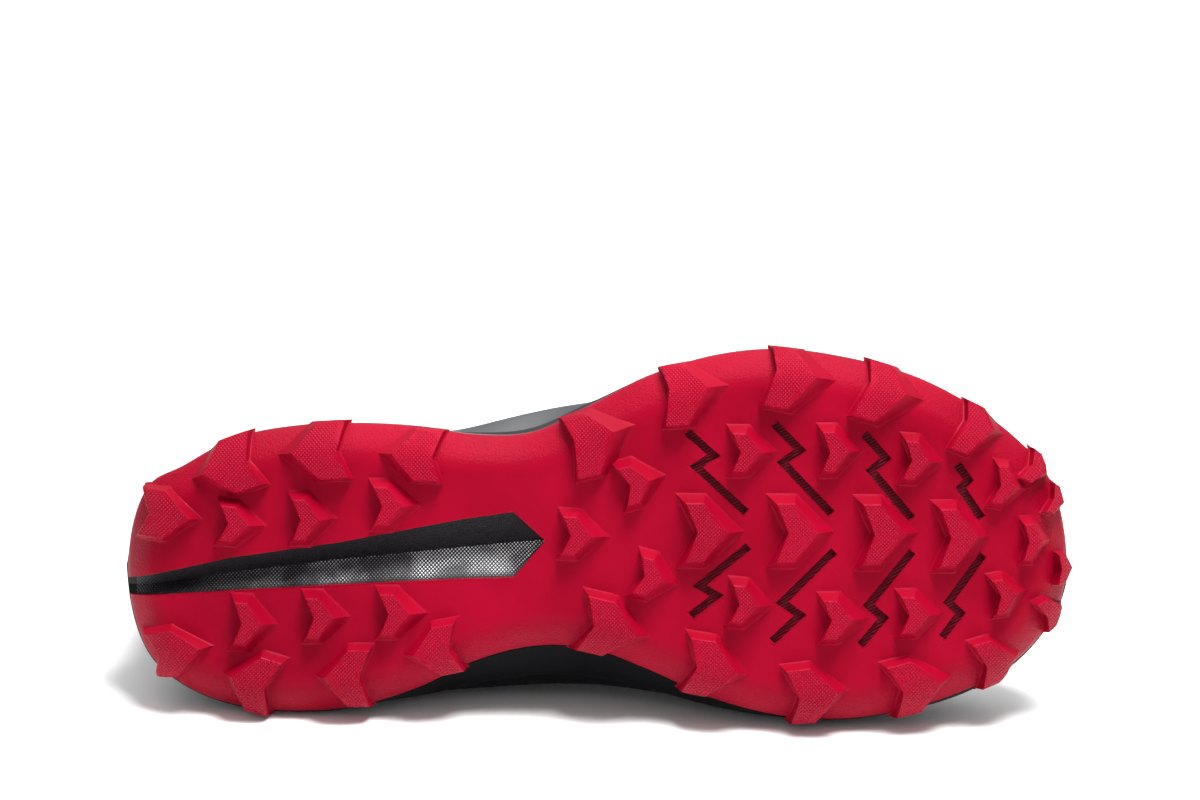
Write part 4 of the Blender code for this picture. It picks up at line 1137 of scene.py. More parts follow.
def groove_body():
    """Closed body of the groove, for cutting the foam a little deeper than its lining."""
    grid = groove_rows(0.0006)
    ring = np.concatenate((grid, grid[:, ::-1] * (1, 1, 0) - (0, 0, 0.02)), 1)
    obj = piece("groove", ring.reshape(-1, 3), quads(*ring.shape[:2], round_columns=True))
    return filled(obj)


def filled(obj):
    """Closes the open ends of a piece."""
    shape = bmesh.new()
    shape.from_mesh(obj.data)
    bmesh.ops.holes_fill(shape, edges=shape.edges)
    bmesh.ops.recalc_face_normals(shape, faces=shape.faces)
    shape.to_mesh(obj.data)
    shape.free()
    return obj


def groove_lining():
    """Printed lining of the groove: one thin sheet with a sharp valley, its medial slope
    marked so that painted glints go on its print."""
    grid = groove_rows(0.0)
    grid = grid[(grid[:, 0, 0] > 0.0004)]
    left, right = grid[:, :6], grid[:, 5:]
    points = np.concatenate((left.reshape(-1, 3), right.reshape(-1, 3)))
    faces = np.concatenate((quads(*left.shape[:2]), quads(*right.shape[:2], start=left[..., 0].size)))
    # the medial slope but its last column gets the painted glints
    shine = np.zeros(right.shape[:2])
    shine[:, :-1] = 1.0
    mark = np.concatenate((np.zeros(left[..., 0].size), shine.ravel()))
    plan = points * (1, 1, 0)
    made = piece("groove_lining", points, faces, weld=0, outward=False, plan=plan, face=mark)
    if made.data.polygons[0].normal.y > 0:
        made.data.flip_normals()
    made.data.materials.append(groove_print_painted_glints)
    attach(made, "root")
    return tell(made)


def add_midsole():
    """The foam as one closed body between the rubber and the bed, with the groove cut out."""
    made = closed_stack("foam_midsole", midsole_rings(),
                        lambda x, y: tread(x, y) + BASE_LIFT, lambda x, y: bed(x), 60)
    made.data.materials.append(foam)
    cut(made, groove_body(), crease=34)
    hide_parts("midsole")
    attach(made, "root")
    return tell(made)


add_midsole()
groove_lining()

# %% [markdown]
# ## The upper's surface
#
# The upper is a sock drawn over a last: five level lines, from the feather line
# where it meets the sole to the top line of collar and throat, and smooth curves
# up through them. All that sits on the upper, its film overlays, stitches and
# laces, is placed by two numbers on this one surface: how far round and how high.

# %% Surface of the last
RISE_ROWS = 100
CREASES = [(0.700, 0.0007), (0.735, 0.0009), (0.775, 0.0006)]
CREASE_WIDTH = 0.010


def last_surface():
    """Grid of the upper's face, ring by row, and its outward directions; shallow flex
    creases run over the ball, each a dip that fades towards the sole."""
    rings = [
        last_ring(FEATHER, lambda x: bed(x) + GAP),
        last_ring(FEATHER, lambda x: bed(x) + rim(x) + GAP),
        last_ring(BELLY),
        last_ring(SHOULDER),
        last_ring(TOPLINE),
    ]
    rows = np.linspace(0, 1, RISE_ROWS + 1)
    grid = curve(LEVELS, np.array(rings), rows, "free").transpose(1, 0, 2)
    along = np.roll(grid, -1, 0) - np.roll(grid, 1, 0)
    out = np.cross(np.gradient(grid, axis=1), along)
    out /= np.linalg.norm(out, axis=2, keepdims=True)
    share = (grid[..., 0] - HEEL_SET) / LAST_LENGTH
    fade = np.clip((rows - 0.25) / 0.35, 0, 1) * np.clip((1.0 - rows) / 0.1, 0, 1)
    for middle, deep in CREASES:
        bend = middle + 0.04 * (1 - rows) - 0.02
        dip = deep * np.exp(-(((share - bend) / CREASE_WIDTH) ** 2)) * fade
        grid = grid - out * dip[..., None]
    return grid, out


FACE, OUT = last_surface()


def skin(around, rise, lift):
    """Point on the upper at how far round (0 heel, 1 toe, 2 heel again) and how high, read
    between the four nearest points of the grid, and raised along its outward direction."""
    around, rise, lift = np.broadcast_arrays(around, rise, lift)
    a = (around % 2.0) * STATION_ROWS
    b = np.clip(rise, 0, 1) * RISE_ROWS
    i = np.floor(a).astype(int)
    j = np.minimum(np.floor(b).astype(int), RISE_ROWS - 1)
    s, t = (a - i)[..., None], (b - j)[..., None]
    i, n = i % len(FACE), (i + 1) % len(FACE)
    spot, way = 0, 0
    corners = (
        (i, j, (1 - s) * (1 - t)),
        (n, j, s * (1 - t)),
        (i, j + 1, (1 - s) * t),
        (n, j + 1, s * t),
    )
    for p, q, share in corners:
        spot = spot + FACE[p, q] * share
        way = way + OUT[p, q] * share
    return spot + way * lift[..., None]


def lengths(grid):
    """Distance walked round and up a grid, kept at each point for weave and knit."""
    round_steps = np.linalg.norm(np.diff(grid, axis=0), axis=2)
    up_steps = np.linalg.norm(np.diff(grid, axis=1), axis=2)
    middle = round_steps[:, grid.shape[1] // 2]
    walked = np.concatenate(([0], np.cumsum(middle)))[:, None] + 0 * grid[..., 0]
    up = np.concatenate((np.zeros((len(grid), 1)), np.cumsum(up_steps, 1)), 1)
    return np.stack((walked, up, np.zeros_like(up)), 2)


def slab(name, outer, inner, round_rows=False, marks=None, **options):
    """Closed thin body between two grids: both faces and a band round the edge."""
    rows, columns = outer.shape[:2]
    count = rows * columns
    faces = [quads(rows, columns, round_rows), quads(rows, columns, round_rows, start=count)]
    number = np.arange(count).reshape(rows, columns)
    edges = [number[:, 0], number[:, -1]]
    if not round_rows:
        edges += [number[0], number[-1]]
    for line in edges:
        far = np.append(line, line[0]) if round_rows else line
        faces.append(np.stack((far[:-1], far[1:], far[1:] + count, far[:-1] + count), 1))
    points = np.concatenate((outer.reshape(-1, 3), inner.reshape(-1, 3)))
    weave = lengths(outer).reshape(-1, 3) if marks is None else marks.reshape(-1, 3)
    weave = np.concatenate((weave, weave))
    return piece(name, points, np.concatenate(faces), weave=weave, **options)


print("upper box", (np.ptp(FACE.reshape(-1, 3), axis=0) * 1000).round(1), "mm")

# %% [markdown]
# ## Cloths and films of the upper
#
# An engineered knit has columns of small loops and, over the toes, rows of vent
# holes. The film overlays are welded on, smooth and slightly shiny. Lining,
# tongue and lace are plain woven cloth. All are black, so it is their gloss and
# relief that tell them apart.

# %% Knit, film and woven cloth
def cloth(name, colour, rough, pitch, deep, sheen, vents=False):
    """Columns of loops of one pitch, coloured darker between the loops and lighter on them as painted
    shade and highlight; vents adds holes in offset rows, pressed in by the bump and painted near black
    as the shade inside them.
    """
    made = Finish(name, colour, rough, Specular_IOR_Level=0.3, Sheen_Weight=sheen, Sheen_Roughness=0.4)
    x, y, _ = made.parts(made.mark("weave"))
    column = made.waves(x, pitch)
    slant = made.math("ADD", y, made.math("MULTIPLY", column, pitch * 0.45))
    loops = made.math("MULTIPLY", made.waves(slant, pitch * 0.8), made.math("SQRT", column))
    height = loops
    fuzz = made.noise(made.spot(), 500.0, 2.0)
    height = made.math("ADD", height, made.math("MULTIPLY", fuzz, 0.35))
    dark = tuple(c * 0.45 for c in colour)
    light = tuple(min(c * 1.5, 1.0) for c in colour)
    # painted shade and highlight: darker between the loops, lighter on their crests
    tone = made.mix(loops, dark, light)
    if vents:
        one = made.waves(made.math("ADD", x, y), 0.0062)
        two = made.waves(made.math("SUBTRACT", x, y), 0.0062)
        hole = made.range(made.math("MULTIPLY", one, two), 0.72, 0.82, 0.0, 1.0)
        area = made.range(made.amount("vent"), 0.3, 0.7, 0.0, 1.0)
        hole = made.math("MULTIPLY", hole, area)
        height = made.math("SUBTRACT", height, made.math("MULTIPLY", hole, 2.5))
        # painted shade: each vent hole is coloured near black, the shade inside a hole
        tone = made.mix(hole, tone, (0.001, 0.001, 0.001))
    made.set("Base Color", tone)
    made.set("Normal", made.bump(height, deep, 0.8))
    return made.material


def film_finish():
    """Welded film: satin black with a faint printed texture and softly uneven gloss."""
    made = Finish("welded_film", (0.012, 0.012, 0.013), 0.42, Specular_IOR_Level=0.3)
    spot = made.spot()
    cloud = made.noise(spot, 40.0, 3.0)
    grain = made.noise(spot, 1300.0, 2.0)
    made.set("Base Color", made.mix(cloud, (0.007, 0.007, 0.008), (0.012, 0.012, 0.0135)))
    made.set("Roughness", made.range(cloud, 0.3, 0.7, 0.36, 0.50))
    made.set("Normal", made.bump(grain, 0.00008, 0.6))
    return made.material


knit = cloth("black_knit", (0.016, 0.016, 0.018), 0.78, 0.0013, 0.00028, 0.10, vents=True)
lining = cloth("grey_lining", (0.036, 0.036, 0.040), 0.85, 0.0009, 0.00015, 0.15)
liner_cloth = cloth("liner_cloth", (0.045, 0.045, 0.050), 0.88, 0.0008, 0.00012, 0.15)
tongue_cloth = cloth("tongue_cloth", (0.024, 0.024, 0.026), 0.80, 0.0010, 0.00018, 0.12)
lace_cloth = cloth("lace_cloth", (0.050, 0.050, 0.055), 0.72, 0.0011, 0.00025, 0.15)
film = film_finish()
print("cloths and film ready")

# %% Eyelet spots
def throat_cover(count):
    """Rows over the open throat, edge to edge: a cubic that leaves both edges as the upper does."""
    at = np.linspace(0.5, 1.0, STATION_ROWS // 2 + 1)
    near, before = skin(at, 1.0, 0.0), skin(at, 0.97, 0.0)
    away, beyond = skin(2 - at, 1.0, 0.0), skin(2 - at, 0.97, 0.0)
    return at, bridge(near, near - before, away, beyond - away, count)


def bridge(near, one, away, two, count):
    """Grid from near to away whose first and last slopes are nine tenths of the chord."""
    chord = 0.9 * np.linalg.norm(away - near, axis=-1, keepdims=True)
    one = chord * one / np.linalg.norm(one, axis=-1, keepdims=True)
    two = chord * two / np.linalg.norm(two, axis=-1, keepdims=True)
    t = np.linspace(0, 1, count + 2)[:, None, None]
    start = (2 * t**3 - 3 * t**2 + 1) * near + (t**3 - 2 * t**2 + t) * one
    end = (3 * t**2 - 2 * t**3) * away + (t**3 - t**2) * two
    return (start + end).transpose(1, 0, 2)


def skin_tree():
    """Search tree of the upper's face with the throat covered, for laying laces on."""
    count, rows = FACE.shape[:2]
    _, cover = throat_cover(15)
    points = np.concatenate((FACE.reshape(-1, 3), cover.reshape(-1, 3)))
    faces = quads(count, rows, round_rows=True).tolist()
    faces += quads(*cover.shape[:2], start=count * rows).tolist()
    return BVHTree.FromPolygons(points.tolist(), faces)


SKIN = skin_tree()


def drop(x, y):
    """Point and outward direction of the covered upper under a spot seen from above."""
    spot, normal, _, _ = SKIN.ray_cast(Vector((x, y, ABOVE)), Vector((0, 0, -1)))
    return spot, normal if normal.z > 0 else -normal


def throat_half(x):
    """Middle and half width of the throat at a distance from the heel."""
    rows = TOPLINE[4:]
    along = HEEL_SET + LAST_LENGTH * np.array([row.along for row in rows])
    centre = np.interp(x, along, [row.centre * BALL_WIDTH for row in rows])
    return centre, np.interp(x, along, [row.medial * BALL_WIDTH for row in rows])


def eyelet_spots():
    """Spots of the eyelets from above, toe end first, medial then lateral: each a fixed
    distance down the upper from the edge of the throat."""
    pairs = []
    steps = np.arange(32) * 0.0003
    for k in range(EYELET_COUNT):
        x = HEEL_SET + LAST_LENGTH * (EYELET_FIRST - k * EYELET_STEP)
        centre, half = throat_half(x)
        pair = []
        for side in (1, -1):
            line = centre + side * (half + steps)
            high = np.array([drop(x, y)[0].z for y in line])
            walked = np.concatenate(([0], np.cumsum(np.hypot(np.diff(line), np.diff(high)))))
            pair.append((x, float(np.interp(EYELET_INSET, walked, line))))
        pairs.append(pair)
    return pairs


EYELETS = eyelet_spots()
print("first eyelets", np.round(EYELETS[0], 4).tolist())

# %% Punches for the eyelets
def frames_at(spots):
    """Point and three directions at each eyelet, the third one outward."""
    rows = []
    for pair in spots:
        for x, y in pair:
            point, normal = drop(x, y)
            turn = np.array(normal.to_track_quat("Z", "Y").to_matrix())
            rows.append((np.array(point), turn))
    return rows


def rings_at(name, profile, sides=24, **options):
    """One round body at each eyelet: a profile of radius and lift turned about its outward
    direction, closed where the profile ends on the axis."""
    angle = np.arange(sides) * math.tau / sides
    radius, lift = np.array(profile).T
    unit = np.stack((radius[:, None] * np.cos(angle), radius[:, None] * np.sin(angle),
                     lift[:, None] + 0 * angle), 2)
    points, faces = [], []
    for spot, turn in frames_at(EYELETS):
        start = len(points) * unit[..., 0].size
        faces.append(quads(len(profile), sides, round_columns=True, start=start))
        points.append((unit @ turn.T + spot).reshape(-1, 3))
    return piece(name, np.concatenate(points), np.concatenate(faces), **options)


def punches():
    """Twelve closed punches through film and knit."""
    profile = [(0.0, -0.006), (EYELET_RADIUS, -0.006), (EYELET_RADIUS, 0.006), (0.0, 0.006)]
    return rings_at("punches", profile)


print("punches ready")

# %% [markdown]
# ## Upper, with its padded collar
#
# The knit is one hollow wall, open along the throat, at the collar and under the
# foot. Inside the collar lies a foam pad under a soft lining, thickest behind the
# ankle, and its top rolls over to meet the knit.

# %% Upper
def roll_rows(near, far, up, count):
    """Rows over a rounded top edge: half a circle from one side's edge to the other's."""
    middle, half = (near + far) / 2, (near - far) / 2
    size = np.linalg.norm(half, axis=1, keepdims=True)
    turns = np.linspace(0, math.pi, count + 2)[1:-1]
    return [middle + half * math.cos(turn) + up * size * math.sin(turn) for turn in turns]


def upper_wall():
    """Closed wall 2.5 mm thick with a rounded top edge."""
    inner = FACE - OUT * WALL
    inner[:, 0, 2] = FACE[:, 0, 2]
    up = FACE[:, -1] - FACE[:, -2]
    up /= np.linalg.norm(up, axis=1, keepdims=True)
    top = roll_rows(FACE[:, -1], inner[:, -1], up, 5)
    rows = np.concatenate((FACE, np.array(top).transpose(1, 0, 2), inner[:, ::-1]), 1)
    count, columns = rows.shape[:2]
    faces = quads(count, columns, round_rows=True, round_columns=True)
    walked = lengths(np.concatenate((FACE, FACE[:1])))[:-1]
    weave = np.concatenate((walked, np.repeat(walked[:, -1:], 5, 1), walked[:, ::-1]), 1)
    share = (rows[..., 0] - HEEL_SET) / LAST_LENGTH
    vent = np.clip((share - 0.55) / 0.06, 0, 1)
    return piece("knit_upper", rows.reshape(-1, 3), faces, weave=weave.reshape(-1, 3),
                 vent=vent.ravel(), crease=60)


upper = upper_wall()
upper.data.materials.append(knit)
cut(upper, punches())
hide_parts("upper")
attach(upper, "root")
tell(upper)

# %% Collar pad
PAD_HALF = 0.47
PAD_FROM = 0.50
PAD_TO = 0.995
PAD_THIN = 0.0006
PAD_SWELL = 0.0046
PAD_GAP = 0.0002


def collar_pad():
    """Foam pad inside the collar: its thickness swells from nothing at its lower edge and
    at both ends to 5 mm near the top, and its top rolls over."""
    around = np.linspace(-PAD_HALF, PAD_HALF, 161)[:, None]
    rise = np.linspace(PAD_FROM, PAD_TO, 60)[None, :]
    ends = np.clip((PAD_HALF - np.abs(around)) / 0.10, 0, 1) ** 0.5
    share = np.clip((rise - PAD_FROM) / (PAD_TO - PAD_FROM), 0, 1)
    swell = np.sin(share * math.pi * 0.62) ** 0.8
    folds = 1 - 0.18 * np.exp(-(((rise - 0.74) / 0.02) ** 2))
    thick = PAD_THIN + PAD_SWELL * ends * swell * folds
    near = skin(around, rise, -WALL - PAD_GAP)
    far = skin(around, rise, -WALL - PAD_GAP - thick)
    up = near[:, -1] - near[:, -2]
    up /= np.linalg.norm(up, axis=1, keepdims=True)
    top = np.array(roll_rows(near[:, -1], far[:, -1], up * 0.6, 7)).transpose(1, 0, 2)
    rows = np.concatenate((near, top, far[:, ::-1]), 1)
    weave = lengths(rows)
    faces = quads(*rows.shape[:2], round_columns=True)
    obj = piece("collar_pad", rows.reshape(-1, 3), faces, weave=weave.reshape(-1, 3))
    return filled(obj)


pad = collar_pad()
pad.data.materials.append(lining)
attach(pad, "root")
tell(pad)

# %% [markdown]
# ## Welded overlays
#
# Toe cap, heel counter and eyestay are thin film. Each is drawn as a smooth edge
# in side view, as a pattern cutter would, and follows the upper below that edge.
# The surface already knows how high it is everywhere, so the edge is found by
# reading where its height passes the line.

# %% Side-view edges
Edge = namedtuple("Edge", "along height")
TOE_CAP = [
    Edge(0.935, 0.62),
    Edge(0.905, 0.47),
    Edge(0.860, 0.35),
    Edge(0.800, 0.26),
    Edge(0.730, 0.20),
    Edge(0.660, 0.15),
]
COUNTER = [
    Edge(-0.02, 0.90),
    Edge(0.06, 0.83),
    Edge(0.13, 0.66),
    Edge(0.19, 0.47),
    Edge(0.25, 0.31),
    Edge(0.30, 0.15),
]
EYESTAY = [
    Edge(0.400, 1.30),
    Edge(0.398, 1.00),
    Edge(0.412, 0.75),
    Edge(0.440, 0.50),
    Edge(0.480, 0.25),
]
EYESTAY_FROM = 0.80
EYESTAY_COLUMNS = 27


def side_edge(rows):
    """Smooth side-view line in metres: distance from the heel and height."""
    at = np.linspace(0, len(rows) - 1, 60)
    line = curve(range(len(rows)), [tuple(row) for row in rows], at, "free")
    return HEEL_SET + LAST_LENGTH * line[:, 0], HEEL_STACK + COLLAR_HEIGHT * line[:, 1]


def edge_rise(around, rows):
    """How high on the upper the side-view line passes, at each place round it."""
    x, z = side_edge(rows)
    order = np.argsort(x)
    rise = np.linspace(LEVELS[RIM_ROW], 1, 400)
    spots = skin(around[:, None], rise[None, :], 0.0)
    over = spots[..., 2] > np.interp(spots[..., 0], x[order], z[order])
    first = np.where(over.any(1), over.argmax(1), len(rise) - 1)
    return rise[first]


def overlay(name, around, low, high, rows, columns):
    """Film between two lines on the upper: 1 mm thick, its edge thinned to a third."""
    around = np.interp(np.linspace(0, 1, rows), np.linspace(0, 1, len(around)), around)
    share = np.linspace(0, 1, columns)[None, :]
    low = np.interp(np.linspace(0, 1, rows), np.linspace(0, 1, len(low)), low)[:, None]
    high = np.interp(np.linspace(0, 1, rows), np.linspace(0, 1, len(high)), high)[:, None]
    rise = low + (high - low) * share
    border = np.minimum(share, 1 - share) * columns
    thick = OVERLAY * np.clip(0.35 + 0.65 * border / 1.5, 0, 1)
    outer = skin(around[:, None], rise, OVERLAY_GAP + thick)
    inner = skin(around[:, None], rise, OVERLAY_GAP)
    made = slab(name, outer, inner, crease=50)
    made.data.materials.append(film)
    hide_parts(name.replace("film_", ""))
    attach(made, "root")
    return made


print("edges ready")

# %% Toe cap and heel counter
def smooth(values, reach=7):
    """Moving average, the ends held."""
    wide = np.concatenate((np.full(reach, values[0]), values, np.full(reach, values[-1])))
    return np.convolve(wide, np.ones(2 * reach + 1) / (2 * reach + 1), "valid")


for name, rows, start, end in (
    ("film_toe_cap", TOE_CAP, 0.45, 1.55),
    ("film_heel_counter", COUNTER, -0.55, 0.55),
):
    around = np.linspace(start, end, 1201)
    high = edge_rise(around, rows)
    inside = high > LEVELS[RIM_ROW] + 0.004
    around, high = around[inside], smooth(high[inside])
    low = np.full(len(around), LEVELS[RIM_ROW] + 0.001)
    tell(overlay(name, around, low, high, 220, 40))

# %% Eyestay
def eyestay():
    """Film on both sides of the throat and round its toe end; its ends follow the
    side-view line, and twelve holes are punched through."""
    x, z = side_edge(EYESTAY)
    rise = np.linspace(EYESTAY_FROM, 1.0, EYESTAY_COLUMNS)
    around = np.linspace(0.3, 1.0, 1401)
    spots = skin(around[:, None], rise[None, :], 0.0)
    ahead = spots[..., 0] > np.interp(spots[..., 2], z[::-1], x[::-1])
    start = smooth(around[ahead.argmax(0)], 2)
    share = np.linspace(0, 1, 261)[:, None]
    around = start + (2 - 2 * start) * share
    column = np.arange(EYESTAY_COLUMNS)
    border = np.minimum(column, column[::-1])[None, :]
    thick = OVERLAY * np.clip(0.4 + 0.6 * border / 1.5, 0, 1)
    outer = skin(around, rise[None, :], OVERLAY_GAP + thick)
    inner = skin(around, rise[None, :], OVERLAY_GAP)
    made = slab("film_eyestay", outer, inner, crease=50)
    made.data.materials.append(film)
    cut(made, punches())
    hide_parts("eyestay")
    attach(made, "root")
    return tell(made)


eyestay()

# %% Eyelet rings
def eyelet_rings():
    """Rolled rings pressed round the holes: a small round profile turned about each hole."""
    turn = np.linspace(0, math.tau, 13)
    out = EYELET_RADIUS + 0.0004 - 0.0007 * np.cos(turn)
    profile = np.stack((out, 0.0015 + 0.0006 * np.sin(turn)), 1)
    made = Finish("ring_lacquer", (0.03, 0.03, 0.033), 0.3, Specular_IOR_Level=0.6)
    wear = made.noise(made.spot(), 700.0, 2.0)
    made.set("Roughness", made.range(wear, 0.3, 0.7, 0.25, 0.45))
    obj = rings_at("eyelet_rings", profile)
    obj.data.materials.append(made.material)
    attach(obj, "root")
    return tell(obj)


eyelet_rings()

# %% [markdown]
# ## Tongue and liner
#
# The tongue lies under both edges of the throat and stands free above the top
# eyelets. It is padded cloth with sewn channels across it. It is worked out as
# two faces, and the padding is added where nothing lies on it.

# %% Tongue
Top = namedtuple("Top", "reach width")
TONGUE_TOP = [Top(1.00, 0.58), Top(0.80, 0.78), Top(0.45, 0.82), Top(0.15, 0.87)]
TONGUE_WAY = np.array((-0.64, 0, 0.77))
TONGUE_ROWS = 121
CHANNEL_PITCH = 0.0135


def throat_face(lift):
    """Grid under one side of the throat, across it and under the other side; lift is the
    distance from the upper's face at each station."""
    at = np.linspace(0.5, 1.0, TONGUE_ROWS)
    rise = np.linspace(0.87, 1.0, 8)
    medial = skin(at[:, None], rise[None, :], lift[:, None])
    lateral = skin(2 - at[:, None], rise[None, ::-1], lift[:, None])
    middle = bridge(medial[:, -1], medial[:, -1] - medial[:, -2], lateral[:, 0],
                    lateral[:, 1] - lateral[:, 0], 21)
    return np.concatenate((medial, middle[:, 1:-1], lateral), 1)


def free_end(face, middle):
    """Rows beyond the top eyelets: moved along the tongue and drawn in towards its middle."""
    reach = np.linspace(1, 0, 33)[:-1]
    known = [row.reach for row in TONGUE_TOP[::-1]]
    width = np.interp(reach, [0] + known, [1] + [row.width for row in TONGUE_TOP[::-1]])
    corner = np.clip((reach - 0.86) / 0.14, 0, 1)
    width = width * (1 - 0.25 * corner**2)
    go = TONGUE_WAY * (reach * TONGUE_REACH)[:, None]
    return middle + go[:, None] + (face[0] - middle) * width[:, None, None]


def tongue():
    """Two faces, one under the throat's edges and one a thickness below, each pushed out by
    a puff that is highest between the sewn channels and nothing at the rim."""
    thick = TONGUE_THICK + (TONGUE_THIN - TONGUE_THICK) * np.linspace(0, 1, TONGUE_ROWS)
    top = throat_face(np.full(TONGUE_ROWS, -WALL - GAP))
    under = throat_face(-WALL - GAP - thick)
    middle = (top[0].mean(0) + under[0].mean(0)) / 2
    top = np.concatenate((free_end(top, middle), top))
    under = np.concatenate((free_end(under, middle), under))
    rows, columns = top.shape[:2]
    weave = lengths(top)
    centre = 1 - np.abs(np.linspace(-1, 1, columns))[None, :] ** 4
    free = np.clip(1 - (np.arange(rows)[:, None] - 26) / 10, 0, 1)
    channel = np.abs(np.sin(weave[..., 0] / CHANNEL_PITCH * math.pi)) ** 0.45
    open_strip = np.clip((0.62 - np.abs(np.linspace(-1, 1, columns)))[None, :] / 0.2, 0, 1)
    puff = (0.0013 * free * centre + 0.0008 * (1 - free) * open_strip) * channel
    puff = puff - 0.0004 * (1 - channel) * open_strip
    way = top - under
    way /= np.linalg.norm(way, axis=2, keepdims=True)
    edge = np.clip(np.arange(rows)[:, None] / 3, 0, 1) ** 0.5
    body = (top + under) / 2
    thin = np.maximum(edge, 0.25)[..., None]
    top = body + (top - body) * thin + way * (puff * edge)[..., None]
    under = body + (under - body) * thin - way * (puff * edge * free)[..., None]
    made = slab("padded_tongue", top, under, marks=weave, crease=60)
    made.data.materials.append(tongue_cloth)
    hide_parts("tongue")
    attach(made, "root")
    return tell(made)


tongue()

# %% Sock liner
def sock_liner():
    """Liner 4 mm thick on the bed, its upper edge rounded."""
    ring = push(last_ring(FEATHER, bed), -(WALL + INSOLE_EASE))
    low, high = ring + (0, 0, GAP), ring + (0, 0, GAP + INSOLE)
    inset = push(ring, -0.0015)
    top = inset * (1, 1, 0) + high * (0, 0, 1)
    side = low + (high - low) * 0.6
    rings = [low, side] + [blend_ring((side, high, top), t) for t in (0.25, 0.5, 0.75, 1.0)]
    rings[-1][:, 2] = bed(rings[-1][:, 0]) + GAP + INSOLE
    made = closed_stack("sock_liner", rings, lambda x, y: bed(x) + GAP,
                        lambda x, y: bed(x) + GAP + INSOLE, 40)
    weave = np.empty(len(made.data.vertices) * 3)
    made.data.attributes["plan"].data.foreach_get("vector", weave)
    made.data.attributes.new("weave", "FLOAT_VECTOR", "POINT").data.foreach_set("vector", weave)
    made.data.materials.append(liner_cloth)
    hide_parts("insole")
    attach(made, "root")
    return tell(made)


sock_liner()

# %% [markdown]
# ## Laces
#
# One flat lace runs up the shoe: a bar under the first pair of eyelets, then from
# each eyelet out on top, over the tongue, under the far edge and up through the
# next eyelet. Each run is a strip along a path that is dropped onto the covered
# upper, raised or lowered by how far along it is.

# %% Lace runs
def lace_path(start, end, over, from_top):
    """Points, outward directions and widths along one run between two eyelets."""
    plan = np.array(start) + (np.array(end) - start) * np.linspace(0, 1, 121)[:, None]
    drops = [drop(x, y) for x, y in plan]
    spots = np.array([spot for spot, _ in drops])
    normals = np.array([normal for _, normal in drops])
    reach = np.ones(25) / 25
    wide = np.concatenate((np.repeat(normals[:1], 12, 0), normals, np.repeat(normals[-1:], 12, 0)))
    normals = np.stack([np.convolve(wide[:, k], reach, "valid") for k in range(3)], 1)
    normals /= np.linalg.norm(normals, axis=1, keepdims=True)
    walked = np.concatenate(([0], np.cumsum(np.linalg.norm(np.diff(spots, axis=0), axis=1))))
    total = walked[-1]
    enter, leave = EYELET_INSET, total - EYELET_INSET
    if from_top:
        knots = [0, 0.0010, 0.0034, enter + 0.001, total * 0.5]
        knots += [leave - 0.003, leave + 0.003, total - 0.002, total]
        lifts = [-0.0040, 0.0004, 0.0026, 0.0023, 0.0006 + over, -0.0012, -0.0044, -0.0046, -0.0030]
    else:
        knots = [0, 0.002, enter - 0.003, enter + 0.003]
        knots += [leave - 0.003, leave + 0.003, total - 0.002, total]
        lifts = [-0.0030, -0.0046, -0.0044, -0.0012, -0.0012, -0.0044, -0.0046, -0.0030]
    at = np.linspace(0, total, 90)
    lift = smooth(np.interp(at, knots, lifts), 2)
    path = np.stack([np.interp(at, walked, spots[:, k]) for k in range(3)], 1)
    normals = np.stack([np.interp(at, walked, normals[:, k]) for k in range(3)], 1)
    ends = np.minimum(at, total - at) if not from_top else at
    width = LACE_WIDTH * np.clip(0.52 + ends / 0.006, 0, 1)
    return path + normals * lift[:, None], normals, width, at


def lace_run(path, normals, width, at):
    """Flat strip with rounded edges: a squashed ring of points carried along a path."""
    turn = np.arange(14) * math.tau / 14
    flat, high = np.cos(turn), np.sin(turn)
    flat = np.sign(flat) * np.abs(flat) ** 0.7
    along = np.gradient(path, axis=0)
    side = np.cross(along, normals)
    side /= np.linalg.norm(side, axis=1, keepdims=True)
    up = np.cross(side, along)
    up /= np.linalg.norm(up, axis=1, keepdims=True)
    grid = path[:, None] + side[:, None] * (flat * width[:, None] / 2)[..., None]
    grid = grid + up[:, None] * (high * LACE_THICK / 2)[None, :, None]
    weave = np.stack((at[:, None] + 0 * grid[..., 0], flat * width[:, None] / 2, 0 * grid[..., 0]), 2)
    return grid, weave


def lace(name, runs):
    """One or two runs in one mesh, ends capped."""
    points, marks, faces, start = [], [], [], 0
    for run in runs:
        grid, weave = lace_run(*run)
        rows, columns = grid.shape[:2]
        ends = np.stack((grid[0].mean(0), grid[-1].mean(0)))
        points += [grid.reshape(-1, 3), ends]
        marks += [weave.reshape(-1, 3), np.zeros((2, 3))]
        faces += quads(rows, columns, round_columns=True, start=start).tolist()
        count = rows * columns
        for base, tip in ((0, count), (count - columns, count + 1)):
            ring = [start + base + k for k in range(columns)]
            faces += [(ring[k - 1], ring[k], start + tip) for k in range(columns)]
        start += count + 2
    mesh_faces = [tuple(face) for face in faces]
    obj = bpy.data.objects.new(name, bpy.data.meshes.new(name))
    obj.data.from_pydata(lay(np.concatenate(points)).tolist(), [], mesh_faces)
    layer = obj.data.attributes.new("weave", "FLOAT_VECTOR", "POINT")
    layer.data.foreach_set("vector", np.concatenate(marks).ravel())
    shape = bmesh.new()
    shape.from_mesh(obj.data)
    bmesh.ops.recalc_face_normals(shape, faces=shape.faces)
    shape.to_mesh(obj.data)
    shape.free()
    obj.data.shade_smooth()
    bpy.context.scene.collection.objects.link(obj)
    obj.data.materials.append(lace_cloth)
    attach(obj, "root")
    return obj


